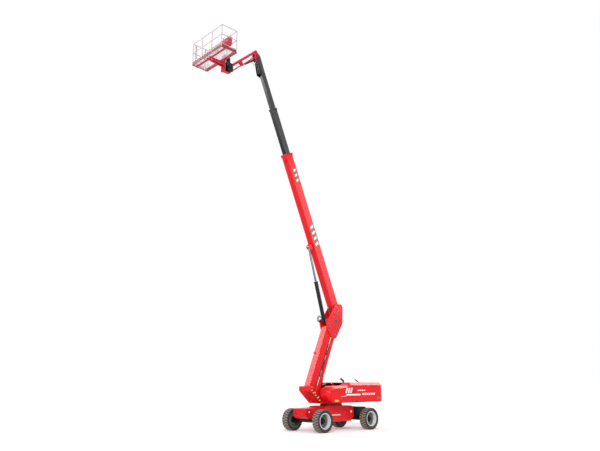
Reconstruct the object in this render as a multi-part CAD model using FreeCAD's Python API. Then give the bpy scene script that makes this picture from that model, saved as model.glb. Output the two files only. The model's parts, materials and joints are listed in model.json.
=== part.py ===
import FreeCAD, Part
import math
import os

# Articulating telescopic boom lift, about 28 m class, drawn with its booms raised.
# Millimetres.  +X is the machine's front, +Y its left, +Z up, z = 0 the ground.
# Sub-parts are drawn about the slew axis (x = 0) and moved at the end by SHIFT_X,
# so that the written parts stand on the centre of their overall length.

V = FreeCAD.Vector

# ---------------------------------------------------------------- clearances
PIN_GAP = 0.1          # radial, pin in its bore
FACE_GAP = 0.3         # flat or round faces that slide on each other
MOVE_GAP = 6.0         # moving pieces that only pass each other
HOSE_REACH = 0.45      # share of the shorter run that a hose's arc takes up

# ---------------------------------------------------------------- wheels
TYRE_R = 530.0
TYRE_W = 410.0
TYRE_CROWN = 8.0       # fall of the tread from its middle to the shoulder
RIM_SEAT_R = 345.0     # where the tyre sits
RIM_LIP_R = 364.0
LIP_CLEAR = 2.0        # tyre above the rim's lip
RIM_W = 330.0
RIM_WALL = 12.0
HUB_R = 130.0
HUB_W = 150.0
SPINDLE_R = 60.0
WHEELBASE = 3310.0
TRACK = 2120.0
KINGPIN_INSET = 260.0  # kingpin, in from the wheel's centre plane
KINGPIN_Y = TRACK / 2.0 - KINGPIN_INSET
KINGPIN_R = 30.0
KNUCKLE_HALF = 55.0
DISC_T = 20.0
DISC_INSET = 100.0     # rim disc, outward face from the wheel's centre plane, inwards

# ---------------------------------------------------------------- chassis
CHASSIS_BOTTOM = 430.0
CHASSIS_TOP = 1170.0
CHASSIS_HALF_L = 1060.0
CHASSIS_HALF_W = 560.0
END_BOX_BOTTOM = 620.0
END_BOX_TOP = 1080.0
END_BOX_X = 2140.0
END_BOX_HALF_W = 435.0
AXLE_HALF_X = 85.0
AXLE_TOP = END_BOX_BOTTOM
AXLE_BOTTOM = 440.0
LUG_HOLE_R = 25.0
LUG_T = 30.0
SLEW_R = 550.0
SLEW_HOLE_R = 400.0
SLEW_TOP = 1300.0

# ---------------------------------------------------------------- turntable
DECK_TOP = 1400.0
DECK_HALF_W = 440.0
HORN_IN = 380.0        # inner face of the two horn plates
HORN_T = 40.0
HORN_FRONT = 1800.0
HORN_TOP = 2110.0
HORN_KNEE = 1900.0
HORN_FOOT = 1120.0
WELL_TOP = 1840.0      # top of the horn plates behind the pivot
EAR_IN = 215.0         # inner face of the ears for link and cylinder
EAR_T = 30.0

HOOD_BOTTOM = 1340.0
HOOD_TOP = 2290.0
HOOD_OUT = 1120.0
HOOD_IN = 550.0
HOOD_REAR = -2150.0
DECK_REAR = HOOD_REAR - MOVE_GAP    # where the tail block bolts on
HOOD_NOSE = 1300.0
HOOD_FOOT = 930.0
RIGHT_BACK = 480.0     # the right hood's nose stands this much further back, behind the boom's foot
HOOD_BROW_X, HOOD_CROWN_X = 760.0, -300.0   # where the nose's curve ends on top
HOOD_BACK = {1: 0.0, -1: RIGHT_BACK}    # by side: 1 left, -1 right
HOOD_WALL = 30.0
HOOD_SHOULDER = 130.0
HINGE_Y, HINGE_Z = 520.0, 2232.0   # hinge line of each hood, along x
HINGE_R = 12.0
HINGE_XS = (-1900.0, -560.0)
HINGE_L = 110.0
BAY_IN = HINGE_Y + 10.0            # inner side of what stands in the bays
TRAY_LOW, TRAY_TOP = 10.0, 50.0    # tray, above the hoods' lower edge
TRAY_SHORT = HOOD_SHOULDER + HOOD_WALL + MOVE_GAP   # tray's end, behind the hood's foot
EXHAUST_X, EXHAUST_Y, EXHAUST_R = -1400.0, -430.0, 45.0
BREATHER_X, BREATHER_R = -1600.0, 26.0
PIPE_BEND = 60.0       # bend of both pipes
BREATHER_Y = HORN_IN + HORN_T + BREATHER_R + FACE_GAP
LAMP_X, LAMP_Z = 755.0, 1430.0     # marker lamp on each hood, its middle
LAMP_L, LAMP_H, LAMP_T = 270.0, 85.0, 20.0
LATCH_X = -747.0
LATCH_L, LATCH_H, LATCH_T = 150.0, 60.0, 16.0
TAIL_X = -2830.0
TAIL_CORNER = 330.0
SLOT_HALF_W = 330.0
SLOT_FLOOR = DECK_TOP
SLOT_WALL = 70.0

# ---------------------------------------------------------------- lower boom
FOOT = (1501.0, 2010.0)           # its pivot in the horn
KNEE = (230.0, 5000.0)            # its top pivot, in the upright
LINK_DX, LINK_DZ = -320.0, -380.0  # level link, beside it, same length
LOWER_DEPTH = 400.0
LOWER_W = 400.0
LOWER_WALL = 10.0
LINK_DEPTH = 180.0
LINK_IN = 120.0
LINK_T = 50.0
MAIN_PIN_R = 55.0
LINK_PIN_R = 42.0
LIFT_BASE = (850.0, DECK_TOP + 84.0)   # lower lift cylinder, foot
LIFT_ALONG = 2000.0
LIFT_OFF = -330.0

# ---------------------------------------------------------------- upright
ELBOW = (-300.0, 6000.0)          # pivot of the telescopic boom
BOOM_SIDE = 15.0                   # upright's inner face beside the wider of the two booms
UPRIGHT_T = 30.0
MAIN_CYL_BASE = (440.0, 5360.0)
UPRIGHT_HOLES = (((-210.0, 5360.0), 105.0), ((-250.0, 5700.0), 62.0), ((-290.0, 5010.0), 62.0))
LOOP_R = 14.0                      # hose loop on the right plate
LOOP_OUT = 55.0                    # its middle, out from the plate's face
MASTER_BASE = (-126.0, 5015.0)

# ---------------------------------------------------------------- telescopic boom
BOOM_ELEV = 66.5
MAIN_DEPTH, MAIN_W, MAIN_WALL = 460.0, 380.0, 8.0
MID_ROOM_DEPTH, MID_ROOM_W = 57.0, 52.0    # room for the mid boom's pads in the main boom
MID_WALL = 7.0
MID_DEPTH = MAIN_DEPTH - 2 * (MAIN_WALL + MID_ROOM_DEPTH)
MID_W = MAIN_W - 2 * (MAIN_WALL + MID_ROOM_W)
FLY_ROOM_DEPTH, FLY_ROOM_W = 23.0, 18.0    # and for the fly boom's in the mid boom
FLY_WALL = 6.0
FLY_DEPTH = MID_DEPTH - 2 * (MID_WALL + FLY_ROOM_DEPTH)
FLY_W = MID_W - 2 * (MID_WALL + FLY_ROOM_W)
UPRIGHT_IN = max(LOWER_W, MAIN_W) / 2.0 + BOOM_SIDE
MAIN_START, MAIN_END = -250.0, 8480.0
MID_END, MID_LEN = 10920.0, 7600.0
FLY_END, FLY_LEN = 13250.0, 6950.0
HEAD_START = FLY_END - 620.0      # where the head's cheeks begin
MAIN_CYL_ALONG, MAIN_CYL_OFF = 3550.0, 430.0
CHEEK_T = 22.0 - FACE_GAP          # plates of the boom head
HEAD_OUT = FLY_W / 2.0 + FACE_GAP + CHEEK_T
HEAD_HOSE_R = 12.0
MASTER_ALONG, MASTER_OFF = 200.0, 335.0
HEAD_PIN = 13740.0
TIP_ALONG, TIP_OFF = 12850.0, 220.0

# ---------------------------------------------------------------- jib
BRACKET_UP = (152.0, 199.0)       # jib pivot from the boom head's pin
JIB_LINK_DROP = 300.0
JIB_END_DX, JIB_END_DZ = 1470.0, -1350.0
BRACKET_T = 18.0                  # plates of the jib's bracket and head
JIB_DEPTH = 130.0
JIB_W = FLY_W - 2 * (BRACKET_T + 2 * MOVE_GAP)    # in the bracket, and that in the boom head
HEAD_PIN_R, JIB_PIN_R, JIB_LINK_PIN_R = 38.0, 28.0, 22.0
TIP_ROD_PIN = (50.0, -330.0)      # on the bracket, from the boom head's pin
JIB_CYL_BASE = (-30.0, -420.0)    # on the bracket, from the jib pivot
JIB_CYL_ALONG, JIB_CYL_OFF = 1300.0, 235.0
ROTATOR_DX = 180.0
ROTATOR_R = 105.0
ROTATOR_LOW, ROTATOR_HIGH = 17020.0, 17780.0

# ---------------------------------------------------------------- platform
FLOOR_Z = 17460.0
PLAT_REAR = 7360.0
PLAT_DEPTH = 910.0
PLAT_W = 2440.0
RAIL_H = 1140.0
RAIL_R = 17.0
POST_R = 20.0
TOE_H = 150.0
RAIL_HEIGHTS = (FLOOR_Z + TOE_H, FLOOR_Z + RAIL_H * 0.55, FLOOR_Z + RAIL_H - RAIL_R)
CONSOLE_Y = (300.0, 860.0)         # its two ends
CONSOLE_DEPTH, CONSOLE_H = 250.0, 440.0
CONSOLE_LOW = FLOOR_Z + 520.0
CONSOLE_REAR = PLAT_REAR + 2 * POST_R + FACE_GAP
STICK_R, STICK_H = 11.0, 95.0
BUTTON_R = 20.0
GATE_W = 620.0


# ================================================================ helpers
def direction(elev):
    a = math.radians(elev)
    return math.cos(a), math.sin(a)


def along(origin, elev, s, n=0.0):
    """Point s along a boom of that elevation and n towards its under side."""
    c, k = direction(elev)
    return origin[0] + s * c + n * k, origin[1] + s * k - n * c


def union(*shapes):
    if len(shapes) == 1:
        return shapes[0]
    return shapes[0].multiFuse(shapes[1:]).removeSplitter()


def box(x0, x1, y0, y1, z0, z1):
    return Part.makeBox(x1 - x0, y1 - y0, z1 - z0, V(x0, y0, z0))


def outline(points, radius=0.0):
    """Closed wire through 2D corners, each rounded by radius (number or list)."""
    n = len(points)
    radii = radius if isinstance(radius, (list, tuple)) else [radius] * n
    cuts = []
    for i, p in enumerate(points):
        p = V(p[0], p[1], 0)
        a = V(*points[i - 1], 0) - p
        b = V(*points[(i + 1) % n], 0) - p
        half = a.getAngle(b) / 2.0
        reach = radii[i] / math.tan(half) if radii[i] else 0.0
        a.normalize()
        b.normalize()
        centre_way = a + b
        if centre_way.Length > 1e-9:
            centre_way.normalize()
        middle = p + centre_way * (radii[i] / math.sin(half) - radii[i])
        cuts.append((p + a * reach, middle, p + b * reach))
    edges = []
    for i in range(n):
        start, middle, end = cuts[i]
        if radii[i]:
            edges.append(Part.Arc(start, middle, end).toShape())
        following = cuts[(i + 1) % n][0]
        if (following - end).Length > 1e-6:
            edges.append(Part.LineSegment(end, following).toShape())
    return Part.Wire(edges)


def side_plate(points, y0, y1, radius=0.0):
    """Plate with an outline in x and z, from y0 to y1."""
    face = Part.Face(outline(points, radius))
    solid = face.extrude(V(0, 0, y1 - y0))
    solid.rotate(V(0, 0, 0), V(1, 0, 0), 90)
    solid.translate(V(0, y1, 0))
    return solid


def top_plate(points, z0, z1, radius=0.0):
    solid = Part.Face(outline(points, radius)).extrude(V(0, 0, z1 - z0))
    solid.translate(V(0, 0, z0))
    return solid


def pin(at, r, y0, y1):
    return Part.makeCylinder(r, y1 - y0, V(at[0], y0, at[1]), V(0, 1, 0))


def round_bar(origin, elev, s0, s1, r, y=0.0):
    x, z = along(origin, elev, s0)
    c, k = direction(elev)
    return Part.makeCylinder(r, s1 - s0, V(x, y, z), V(c, 0, k))


def prism(origin, elev, s0, s1, depth, width, corner=0.0, y=0.0):
    """Solid bar of a rounded rectangular section, laid along a boom's axis."""
    h, w = depth / 2.0, width / 2.0
    wire = outline([(-h, -w), (h, -w), (h, w), (-h, w)], corner)
    solid = Part.Face(wire).extrude(V(0, 0, s1 - s0))
    solid.rotate(V(0, 0, 0), V(0, 1, 0), 90 - elev)
    x, z = along(origin, elev, s0)
    solid.translate(V(x, y, z))
    return solid


def box_tube(origin, elev, s0, s1, depth, width, wall, corner):
    outer = prism(origin, elev, s0, s1, depth, width, corner)
    inner = prism(origin, elev, s0 - 1, s1 + 1, depth - 2 * wall, width - 2 * wall,
                  corner - wall)
    return outer.cut(inner)


def lozenge(a, b, r, y0, y1):
    """Flat bar with round ends about two pins."""
    elev = math.degrees(math.atan2(b[1] - a[1], b[0] - a[0]))
    length = math.hypot(b[0] - a[0], b[1] - a[1])
    bar = prism(a, elev, 0, length, 2 * r, y1 - y0, 0, (y0 + y1) / 2.0)
    return union(bar, pin(a, r, y0, y1), pin(b, r, y0, y1))


def mirrored(y0, y1, side):
    return (y0, y1) if side > 0 else (-y1, -y0)


def aim(a, b):
    return (math.degrees(math.atan2(b[1] - a[1], b[0] - a[0])),
            math.hypot(b[0] - a[0], b[1] - a[1]))


# ================================================================ positions
LOWER_ELEV, LOWER_LEN = aim(FOOT, KNEE)
LINK_FOOT = (FOOT[0] + LINK_DX, FOOT[1] + LINK_DZ)
LINK_TOP = (KNEE[0] + LINK_DX, KNEE[1] + LINK_DZ)
LIFT_PIN = along(FOOT, LOWER_ELEV, LIFT_ALONG, LIFT_OFF)
MAIN_CYL_PIN = along(ELBOW, BOOM_ELEV, MAIN_CYL_ALONG, MAIN_CYL_OFF)
MASTER_PIN = along(ELBOW, BOOM_ELEV, MASTER_ALONG, MASTER_OFF)
HEAD = along(ELBOW, BOOM_ELEV, HEAD_PIN)
TIP_BASE = along(ELBOW, BOOM_ELEV, TIP_ALONG, TIP_OFF)
JIB_FOOT = (HEAD[0] + BRACKET_UP[0], HEAD[1] + BRACKET_UP[1])
JIB_LINK_FOOT = (JIB_FOOT[0], JIB_FOOT[1] - JIB_LINK_DROP)
JIB_END = (JIB_FOOT[0] + JIB_END_DX, JIB_FOOT[1] + JIB_END_DZ)
JIB_LINK_END = (JIB_END[0], JIB_END[1] - JIB_LINK_DROP)
JIB_ELEV, JIB_LEN = aim(JIB_FOOT, JIB_END)
TIP_PIN = (HEAD[0] + TIP_ROD_PIN[0], HEAD[1] + TIP_ROD_PIN[1])
JIB_CYL_FOOT = (JIB_FOOT[0] + JIB_CYL_BASE[0], JIB_FOOT[1] + JIB_CYL_BASE[1])
JIB_CYL_PIN = along(JIB_FOOT, JIB_ELEV, JIB_CYL_ALONG, JIB_CYL_OFF)
ROTATOR_X = JIB_END[0] + ROTATOR_DX
PLAT_FRONT = PLAT_REAR + PLAT_DEPTH

SHIFT_X = -(PLAT_FRONT + TAIL_X) / 2.0
WHEELS = {
    "front_left": (WHEELBASE / 2.0, 1), "front_right": (WHEELBASE / 2.0, -1),
    "rear_left": (-WHEELBASE / 2.0, 1), "rear_right": (-WHEELBASE / 2.0, -1),
}

# ================================================================ cylinders
# name: base pin, rod pin, barrel radius, barrel length, rod radius, rod length,
#       half width over the base eye, half width of the rod eye, eye radius, y
CYLINDERS = {
    "lower_lift": (LIFT_BASE, LIFT_PIN, 85.0, 1160.0, 44.0, 1230.0, 214.7, 50.0, 62.0, 0.0),
    "main_lift": (MAIN_CYL_BASE, MAIN_CYL_PIN, 100.0, 2050.0, 52.0, 2560.0, 214.7, 60.0, 82.0, 0.0),
    "master_level": (MASTER_BASE, MASTER_PIN, 45.0, 560.0, 22.0, 572.0, 214.7, 28.0, 36.0, 0.0),
    "tip_level": (TIP_BASE, TIP_PIN, 40.0, 470.0, 20.0, 500.0, 60.0, 28.0, 36.0, 0.0),
    "jib_lift": (JIB_CYL_FOOT, JIB_CYL_PIN, 45.0, 790.0, 24.0, 855.0, 60.0, 28.0, 40.0, 0.0),
}
CYL_PIN_R = {"lower_lift": 40.0, "main_lift": 45.0, "master_level": 22.0,
             "tip_level": 20.0, "jib_lift": 22.0}
PIN_OUT = 14.0         # how far a pin's end stands out of the plate that holds it
JIB_PLATE_IN = JIB_W / 2.0 + MOVE_GAP
JIB_PIN_REACH = JIB_PLATE_IN + BRACKET_T + PIN_OUT


def rod_eye(name):
    """Half width and radius of a cylinder's rod eye."""
    return CYLINDERS[name][7:9]


def cylinder_barrel(name, plate_out):
    """Barrel with its base eye, the pin through it, the gland and an open bore."""
    base, top, r, length, rod_r, rod_len, half_w, eye_w, eye_r, y = CYLINDERS[name]
    elev, _ = aim(base, top)
    r_pin = CYL_PIN_R[name]
    body = round_bar(base, elev, 0.0, length, r, y)
    gland = round_bar(base, elev, length - 0.5 * r, length, r * 1.14, y)
    cap = round_bar(base, elev, 0.9 * r, 1.25 * r, r * 1.1, y)
    eye = pin(base, r * 0.9, -r * 0.8, r * 0.8)
    spacer = pin(base, r_pin * 1.15, -half_w, half_w)
    shaft = pin(base, r_pin, -plate_out - PIN_OUT, plate_out + PIN_OUT)
    solid = union(body, gland, cap, eye, spacer, shaft)
    bore = round_bar(base, elev, 1.3 * r, length + 1.0, rod_r + FACE_GAP, y)
    return solid.cut(bore)


def cylinder_rod(name):
    """Rod with its eye; the eye's pin stays short of the lugs, as that pivot is open."""
    base, top, r, length, rod_r, rod_len, half_w, eye_w, eye_r, y = CYLINDERS[name]
    elev, reach = aim(base, top)
    rod = round_bar(base, elev, reach - rod_len, reach, rod_r, y)
    neck = round_bar(base, elev, reach - eye_r - rod_r, reach, rod_r * 1.1, y)
    eye = pin(top, eye_r, y - eye_w, y + eye_w)
    return union(rod, neck, eye)


# ================================================================ wheels
def turned(points, centre_x, side, centre_y):
    """Ring from a half section of (y, r) points turned about the axle line."""
    pts = [V(centre_x, centre_y + side * y, TYRE_R + r) for y, r in points]
    wire = Part.makePolygon(pts + [pts[0]])
    return Part.Face(wire).revolve(V(centre_x, centre_y, TYRE_R), V(0, 1, 0), 360)


def tyre(centre_x, side):
    half = TYRE_W / 2.0
    bulge_r = (TYRE_R + RIM_LIP_R) / 2.0
    shoulder = half - 26.0
    seat = RIM_W / 2.0 - FACE_GAP
    right = [(seat, RIM_SEAT_R + FACE_GAP), (seat, RIM_LIP_R + LIP_CLEAR),
             (RIM_W / 2.0 + LIP_CLEAR, RIM_LIP_R + LIP_CLEAR), (half - 6.0, RIM_LIP_R + 40.0),
             (half, bulge_r + 12.0), (half - 4.0, TYRE_R - 45.0), (shoulder, TYRE_R - TYRE_CROWN)]
    left = [(-y, r) for y, r in reversed(right)]
    section = right + [(0.0, TYRE_R)] + left
    return turned(section, centre_x, side, side * TRACK / 2.0)


def rim(centre_x, side):
    """Rim barrel with lips, its disc set inside, and the drive hub over the spindle."""
    half = RIM_W / 2.0
    disc_out = -DISC_INSET + DISC_T
    barrel = [(-half - 5.0, RIM_LIP_R), (-half - 5.0, RIM_SEAT_R - RIM_WALL),
              (half + 5.0, RIM_SEAT_R - RIM_WALL), (half + 5.0, RIM_LIP_R),
              (half, RIM_LIP_R), (half, RIM_SEAT_R), (-half, RIM_SEAT_R),
              (-half, RIM_LIP_R)]
    y0 = side * TRACK / 2.0
    ring = turned(barrel, centre_x, side, y0)
    disc = turned([(-DISC_INSET, 1.0), (-DISC_INSET, 250.0), (-DISC_INSET + 45.0, RIM_SEAT_R - 6.0),
                   (-DISC_INSET + 45.0 + DISC_T, RIM_SEAT_R - 6.0), (disc_out, 250.0),
                   (disc_out, 1.0)], centre_x, side, y0)
    hub = turned([(disc_out - 1.0, 1.0), (disc_out - 1.0, HUB_R), (disc_out + 0.7 * HUB_W, HUB_R),
                  (disc_out + 0.82 * HUB_W, HUB_R * 0.8), (disc_out + HUB_W, HUB_R * 0.72),
                  (disc_out + HUB_W, 1.0)], centre_x, side, y0)
    core = turned([(-DISC_INSET, 0.0), (-DISC_INSET, 2.0), (disc_out + HUB_W, 2.0),
                   (disc_out + HUB_W, 0.0)], centre_x, side, y0)
    bore = turned([(-DISC_INSET - 1.0, 0.0), (-DISC_INSET - 1.0, SPINDLE_R + PIN_GAP),
                   (disc_out + 60.0, SPINDLE_R + PIN_GAP), (disc_out + 60.0, 0.0)],
                  centre_x, side, y0)
    return union(ring, disc, hub, core).cut(bore)


def knuckle(centre_x, side):
    """Kingpin block with the drive housing and the spindle that the hub turns on."""
    y_disc = TRACK / 2.0 - DISC_INSET
    half = KNUCKLE_HALF
    block = box(centre_x - 70.0, centre_x + 70.0, *mirrored(KINGPIN_Y - half, KINGPIN_Y + half, side),
                TYRE_R - 118.0, TYRE_R + 118.0)
    king = Part.makeCylinder(KINGPIN_R, 340.0, V(centre_x, side * KINGPIN_Y, TYRE_R - 170.0))
    shaft_way = V(0, side, 0)
    drive = Part.makeCylinder(112.0, y_disc - MOVE_GAP - KINGPIN_Y - 20.0,
                              V(centre_x, side * (KINGPIN_Y + 20.0), TYRE_R), shaft_way)
    spindle = Part.makeCylinder(SPINDLE_R, y_disc - KINGPIN_Y + 60.0,
                                V(centre_x, side * KINGPIN_Y, TYRE_R), shaft_way)
    motor = Part.makeCylinder(80.0, 60.0, V(centre_x, side * (KINGPIN_Y - half - 30.0), TYRE_R), shaft_way)
    return union(block, king, drive, spindle, motor)


# ================================================================ chassis
def chassis_frame():
    """Box chassis with sloping ends under the slew ring and two narrow end boxes."""
    low = CHASSIS_HALF_L - 210.0
    middle = side_plate([(-low, CHASSIS_BOTTOM), (low, CHASSIS_BOTTOM), (CHASSIS_HALF_L, 640.0),
                         (CHASSIS_HALF_L, 1040.0), (CHASSIS_HALF_L - 140.0, CHASSIS_TOP),
                         (-CHASSIS_HALF_L + 140.0, CHASSIS_TOP), (-CHASSIS_HALF_L, 1040.0),
                         (-CHASSIS_HALF_L, 640.0)], -CHASSIS_HALF_W, CHASSIS_HALF_W, 30.0)
    ends = []
    for side in (-1, 1):
        inner = CHASSIS_HALF_L - 40.0
        ends.append(side_plate([(side * inner, END_BOX_BOTTOM), (side * (END_BOX_X - 130.0), END_BOX_BOTTOM),
                                (side * END_BOX_X, END_BOX_BOTTOM + 90.0),
                                (side * END_BOX_X, END_BOX_TOP - 20.0),
                                (side * (END_BOX_X - 40.0), END_BOX_TOP), (side * inner, END_BOX_TOP + 30.0)],
                               -END_BOX_HALF_W, END_BOX_HALF_W))
    seat = Part.makeCylinder(SLEW_R - 20.0, 40.0, V(0, 0, CHASSIS_TOP - 40.0))
    return union(middle, seat, *ends)


def axles():
    parts = []
    for centre_x in (WHEELBASE / 2.0, -WHEELBASE / 2.0):
        beam_end = KINGPIN_Y - 116.0
        beam = box(centre_x - AXLE_HALF_X, centre_x + AXLE_HALF_X, -beam_end, beam_end,
                   AXLE_BOTTOM, AXLE_TOP)
        ears = []
        for side in (-1, 1):
            for z in (TYRE_R - 162.0, TYRE_R + 122.0):
                arm = box(centre_x - 60.0, centre_x + 60.0, *mirrored(beam_end - 60.0, KINGPIN_Y, side),
                          z, z + 40.0)
                tip = Part.makeCylinder(60.0, 40.0, V(centre_x, side * KINGPIN_Y, z))
                hole = Part.makeCylinder(KINGPIN_R + PIN_GAP, 60.0, V(centre_x, side * KINGPIN_Y, z - 10.0))
                ears.append(arm.fuse(tip).cut(hole))
            web = box(centre_x - 60.0, centre_x + 60.0, *mirrored(beam_end - 60.0, beam_end, side),
                      TYRE_R - 162.0, TYRE_R + 162.0)
            ears.append(web)
        parts.append(union(beam, *ears))
    return Part.makeCompound(parts)


def slew_ring():
    base = Part.makeCylinder(SLEW_R, 50.0, V(0, 0, CHASSIS_TOP))
    race = Part.makeCylinder(SLEW_R - 30.0, SLEW_TOP - CHASSIS_TOP, V(0, 0, CHASSIS_TOP))
    top = Part.makeCylinder(SLEW_R, 40.0, V(0, 0, SLEW_TOP - 40.0))
    hole = Part.makeCylinder(SLEW_HOLE_R, 400.0, V(0, 0, CHASSIS_TOP - 50.0))
    return union(base, race, top).cut(hole)


def tie_down_lugs():
    """Four lugs on the end plates, each with a hole across the machine."""
    lugs = []
    z = END_BOX_BOTTOM + 210.0
    for side in (-1, 1):
        for y in (-300.0, 300.0):
            x0 = side * END_BOX_X
            x1 = side * (END_BOX_X + 60.0)
            body = box(min(x0, x1), max(x0, x1), y - LUG_T / 2.0, y + LUG_T / 2.0, z - 55.0, z + 55.0)
            nose = pin((x1, z), 55.0, y - LUG_T / 2.0, y + LUG_T / 2.0)
            hole = pin((x1, z), LUG_HOLE_R, y - LUG_T, y + LUG_T)
            lugs.append(body.fuse(nose).cut(hole))
    return Part.makeCompound(lugs)


# ================================================================ turntable
def turntable_frame():
    """Deck, side trays, the two horn plates with their front plate, and inner ears."""
    deck = top_plate([(DECK_REAR, -DECK_HALF_W), (HORN_FOOT, -DECK_HALF_W),
                      (HORN_FOOT, DECK_HALF_W), (DECK_REAR, DECK_HALF_W)],
                     SLEW_TOP + FACE_GAP, DECK_TOP)
    tray_out = HOOD_OUT - HOOD_WALL - MOVE_GAP
    trays = []
    plates = []
    for side in (-1, 1):
        trays.append(box(DECK_REAR, HOOD_FOOT - HOOD_BACK[side] - TRAY_SHORT,
                         *mirrored(DECK_HALF_W - 10.0, tray_out, side),
                         HOOD_BOTTOM + TRAY_LOW, HOOD_BOTTOM + TRAY_TOP))
        plate = side_plate([(DECK_REAR, SLEW_TOP + FACE_GAP), (HORN_FOOT, SLEW_TOP + FACE_GAP),
                            (HORN_FRONT, HORN_KNEE), (HORN_FRONT, HORN_TOP),
                            (1230.0, HORN_TOP), (760.0, WELL_TOP), (DECK_REAR, WELL_TOP)],
                           *mirrored(HORN_IN, HORN_IN + HORN_T, side),
                           [0.0, 0.0, 60.0, 40.0, 120.0, 200.0, 0.0])
        plates.append(plate)
    front = side_plate([(HORN_FOOT, SLEW_TOP + FACE_GAP), (HORN_FRONT, HORN_KNEE),
                        (HORN_FRONT, HORN_TOP - 10.0),
                        (HORN_FRONT - 20.0, HORN_TOP - 10.0), (HORN_FRONT - 20.0, HORN_KNEE + 8.0),
                        (HORN_FOOT - 20.0, SLEW_TOP + 8.0)], -HORN_IN - 1.0, HORN_IN + 1.0)
    ears = [side_plate([(680.0, DECK_TOP - 5.0), (1330.0, DECK_TOP - 5.0), (1330.0, 1660.0), (1240.0, 1750.0),
                        (1110.0, 1750.0), (900.0, 1600.0), (780.0, 1600.0)],
                       *mirrored(EAR_IN, EAR_IN + EAR_T, side), [0, 0, 40, 60, 60, 60, 60])
            for side in (-1, 1)]
    posts = []
    for side in (-1, 1):
        for x in HINGE_XS:
            x0 = x - HINGE_L / 2.0 - 40.0
            eye, way = V(x0, side * HINGE_Y, HINGE_Z), V(1, 0, 0)
            posts.append(box(x0, x0 + 34.0, *mirrored(HORN_IN + 1.0, HINGE_Y, side), WELL_TOP - 60.0,
                             HINGE_Z))
            posts.append(Part.makeCylinder(20.0, 34.0, eye, way))
            posts.append(Part.makeCylinder(HINGE_R, HINGE_L + 40.0, eye, way))
    solid = union(deck, *trays, *plates, front, *ears, *posts)
    holes = [pin(FOOT, MAIN_PIN_R + PIN_GAP, -600, 600),
             pin(LINK_FOOT, LINK_PIN_R + PIN_GAP, -300, 300),
             pin(LIFT_BASE, CYL_PIN_R["lower_lift"] + PIN_GAP, -300, 300)]
    return solid.cut(Part.makeCompound(holes))


def hood_side(inset, back, y):
    """Outline of a hood from the side at y, inset for its inner face and its shoulder."""
    low = HOOD_BOTTOM - (1.0 if inset else 0.0)
    line = Part.LineSegment
    foot = V(HOOD_FOOT - back - inset, y, low)
    cheek = V(HOOD_FOOT - back + 290.0 - inset, y, HOOD_BOTTOM + 210.0)
    nose = V(HOOD_NOSE - back - inset, y, HOOD_BOTTOM + 560.0)
    above_nose = V(HOOD_NOSE - back - 120.0 - inset * 0.8, y, HOOD_TOP - 275.0 - inset * 0.6)
    brow = V(HOOD_BROW_X - back, y, HOOD_TOP - 160.0 - inset)
    crown = V(HOOD_CROWN_X, y, HOOD_TOP - inset)
    rear_top = V(HOOD_REAR, y, HOOD_TOP - inset)
    rear_low = V(HOOD_REAR, y, low)
    lower = Part.BSplineCurve()
    lower.interpolate([foot, cheek, nose])
    upper = Part.BSplineCurve()
    upper.interpolate([nose, above_nose, brow, crown])
    return Part.Wire([lower.toShape(), upper.toShape(), line(crown, rear_top).toShape(),
                      line(rear_top, rear_low).toShape(), line(rear_low, foot).toShape()])


def hood(side):
    """Gull-wing cover: side with a broad shoulder round nose and top, in one shell open inwards."""
    back = HOOD_BACK[side]

    def filled(inset, y0):
        y1 = HOOD_OUT - inset
        straight = Part.Face(hood_side(inset, back, y0)).extrude(V(0, y1 - HOOD_SHOULDER - y0, 0))
        shoulder = Part.makeLoft([hood_side(inset, back, y1 - HOOD_SHOULDER),
                                  hood_side(inset + HOOD_SHOULDER, back, y1)], True, True)
        return union(straight, shoulder)

    shell = filled(0.0, HOOD_IN).cut(filled(HOOD_WALL, HOOD_IN - 10.0))
    shell = shell.cut(box(-3000, 3000, 0, 3000, 0, HOOD_BOTTOM))
    for x in HINGE_XS:
        x0 = x - HINGE_L / 2.0
        knuckle_tube = Part.makeCylinder(22.0, HINGE_L, V(x0, HINGE_Y, HINGE_Z), V(1, 0, 0))
        strap = box(x0, x0 + HINGE_L, HINGE_Y, HOOD_IN + 60.0, HINGE_Z + 2.0, HOOD_TOP - HOOD_WALL + 1.0)
        bore = Part.makeCylinder(HINGE_R + PIN_GAP, HINGE_L + 10.0, V(x0 - 5.0, HINGE_Y, HINGE_Z), V(1, 0, 0))
        shell = union(shell, knuckle_tube, strap).cut(bore)
    if side < 0:
        shell = shell.mirror(V(0, 0, 0), V(0, 1, 0))
    return shell


def counterweight():
    """Cast tail block with rounded corners and shoulders, slotted for the upright."""
    front = DECK_REAR
    plan = [(front, -HOOD_OUT), (front, HOOD_OUT), (TAIL_X, HOOD_OUT), (TAIL_X, -HOOD_OUT)]
    block = top_plate(plan, HOOD_BOTTOM, HOOD_TOP, [0.0, 0.0, TAIL_CORNER, TAIL_CORNER])
    rim_edges = [e for e in block.Edges
                 if e.BoundBox.ZMin > HOOD_TOP - 1.0 and e.BoundBox.XMin < front - 1.0]
    block = block.makeChamfer(HOOD_SHOULDER, rim_edges)
    slot = box(TAIL_X + SLOT_WALL, front + 1.0, -SLOT_HALF_W, SLOT_HALF_W, SLOT_FLOOR, HOOD_TOP + 1.0)
    return block.cut(slot)


def engine_block():
    return box(-1750.0, -640.0, -1000.0, -BAY_IN, HOOD_BOTTOM + TRAY_TOP, HOOD_BOTTOM + 760.0)


def tanks():
    """Fuel and hydraulic oil tanks on the left tray."""
    fuel = box(-1900.0, -1150.0, BAY_IN, 1000.0, HOOD_BOTTOM + TRAY_TOP, HOOD_BOTTOM + 700.0)
    oil = box(-900.0, 150.0, BAY_IN, 1000.0, HOOD_BOTTOM + TRAY_TOP, HOOD_BOTTOM + 620.0)
    return Part.makeCompound([fuel.makeFillet(50.0, fuel.Edges), oil.makeFillet(50.0, oil.Edges)])


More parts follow.
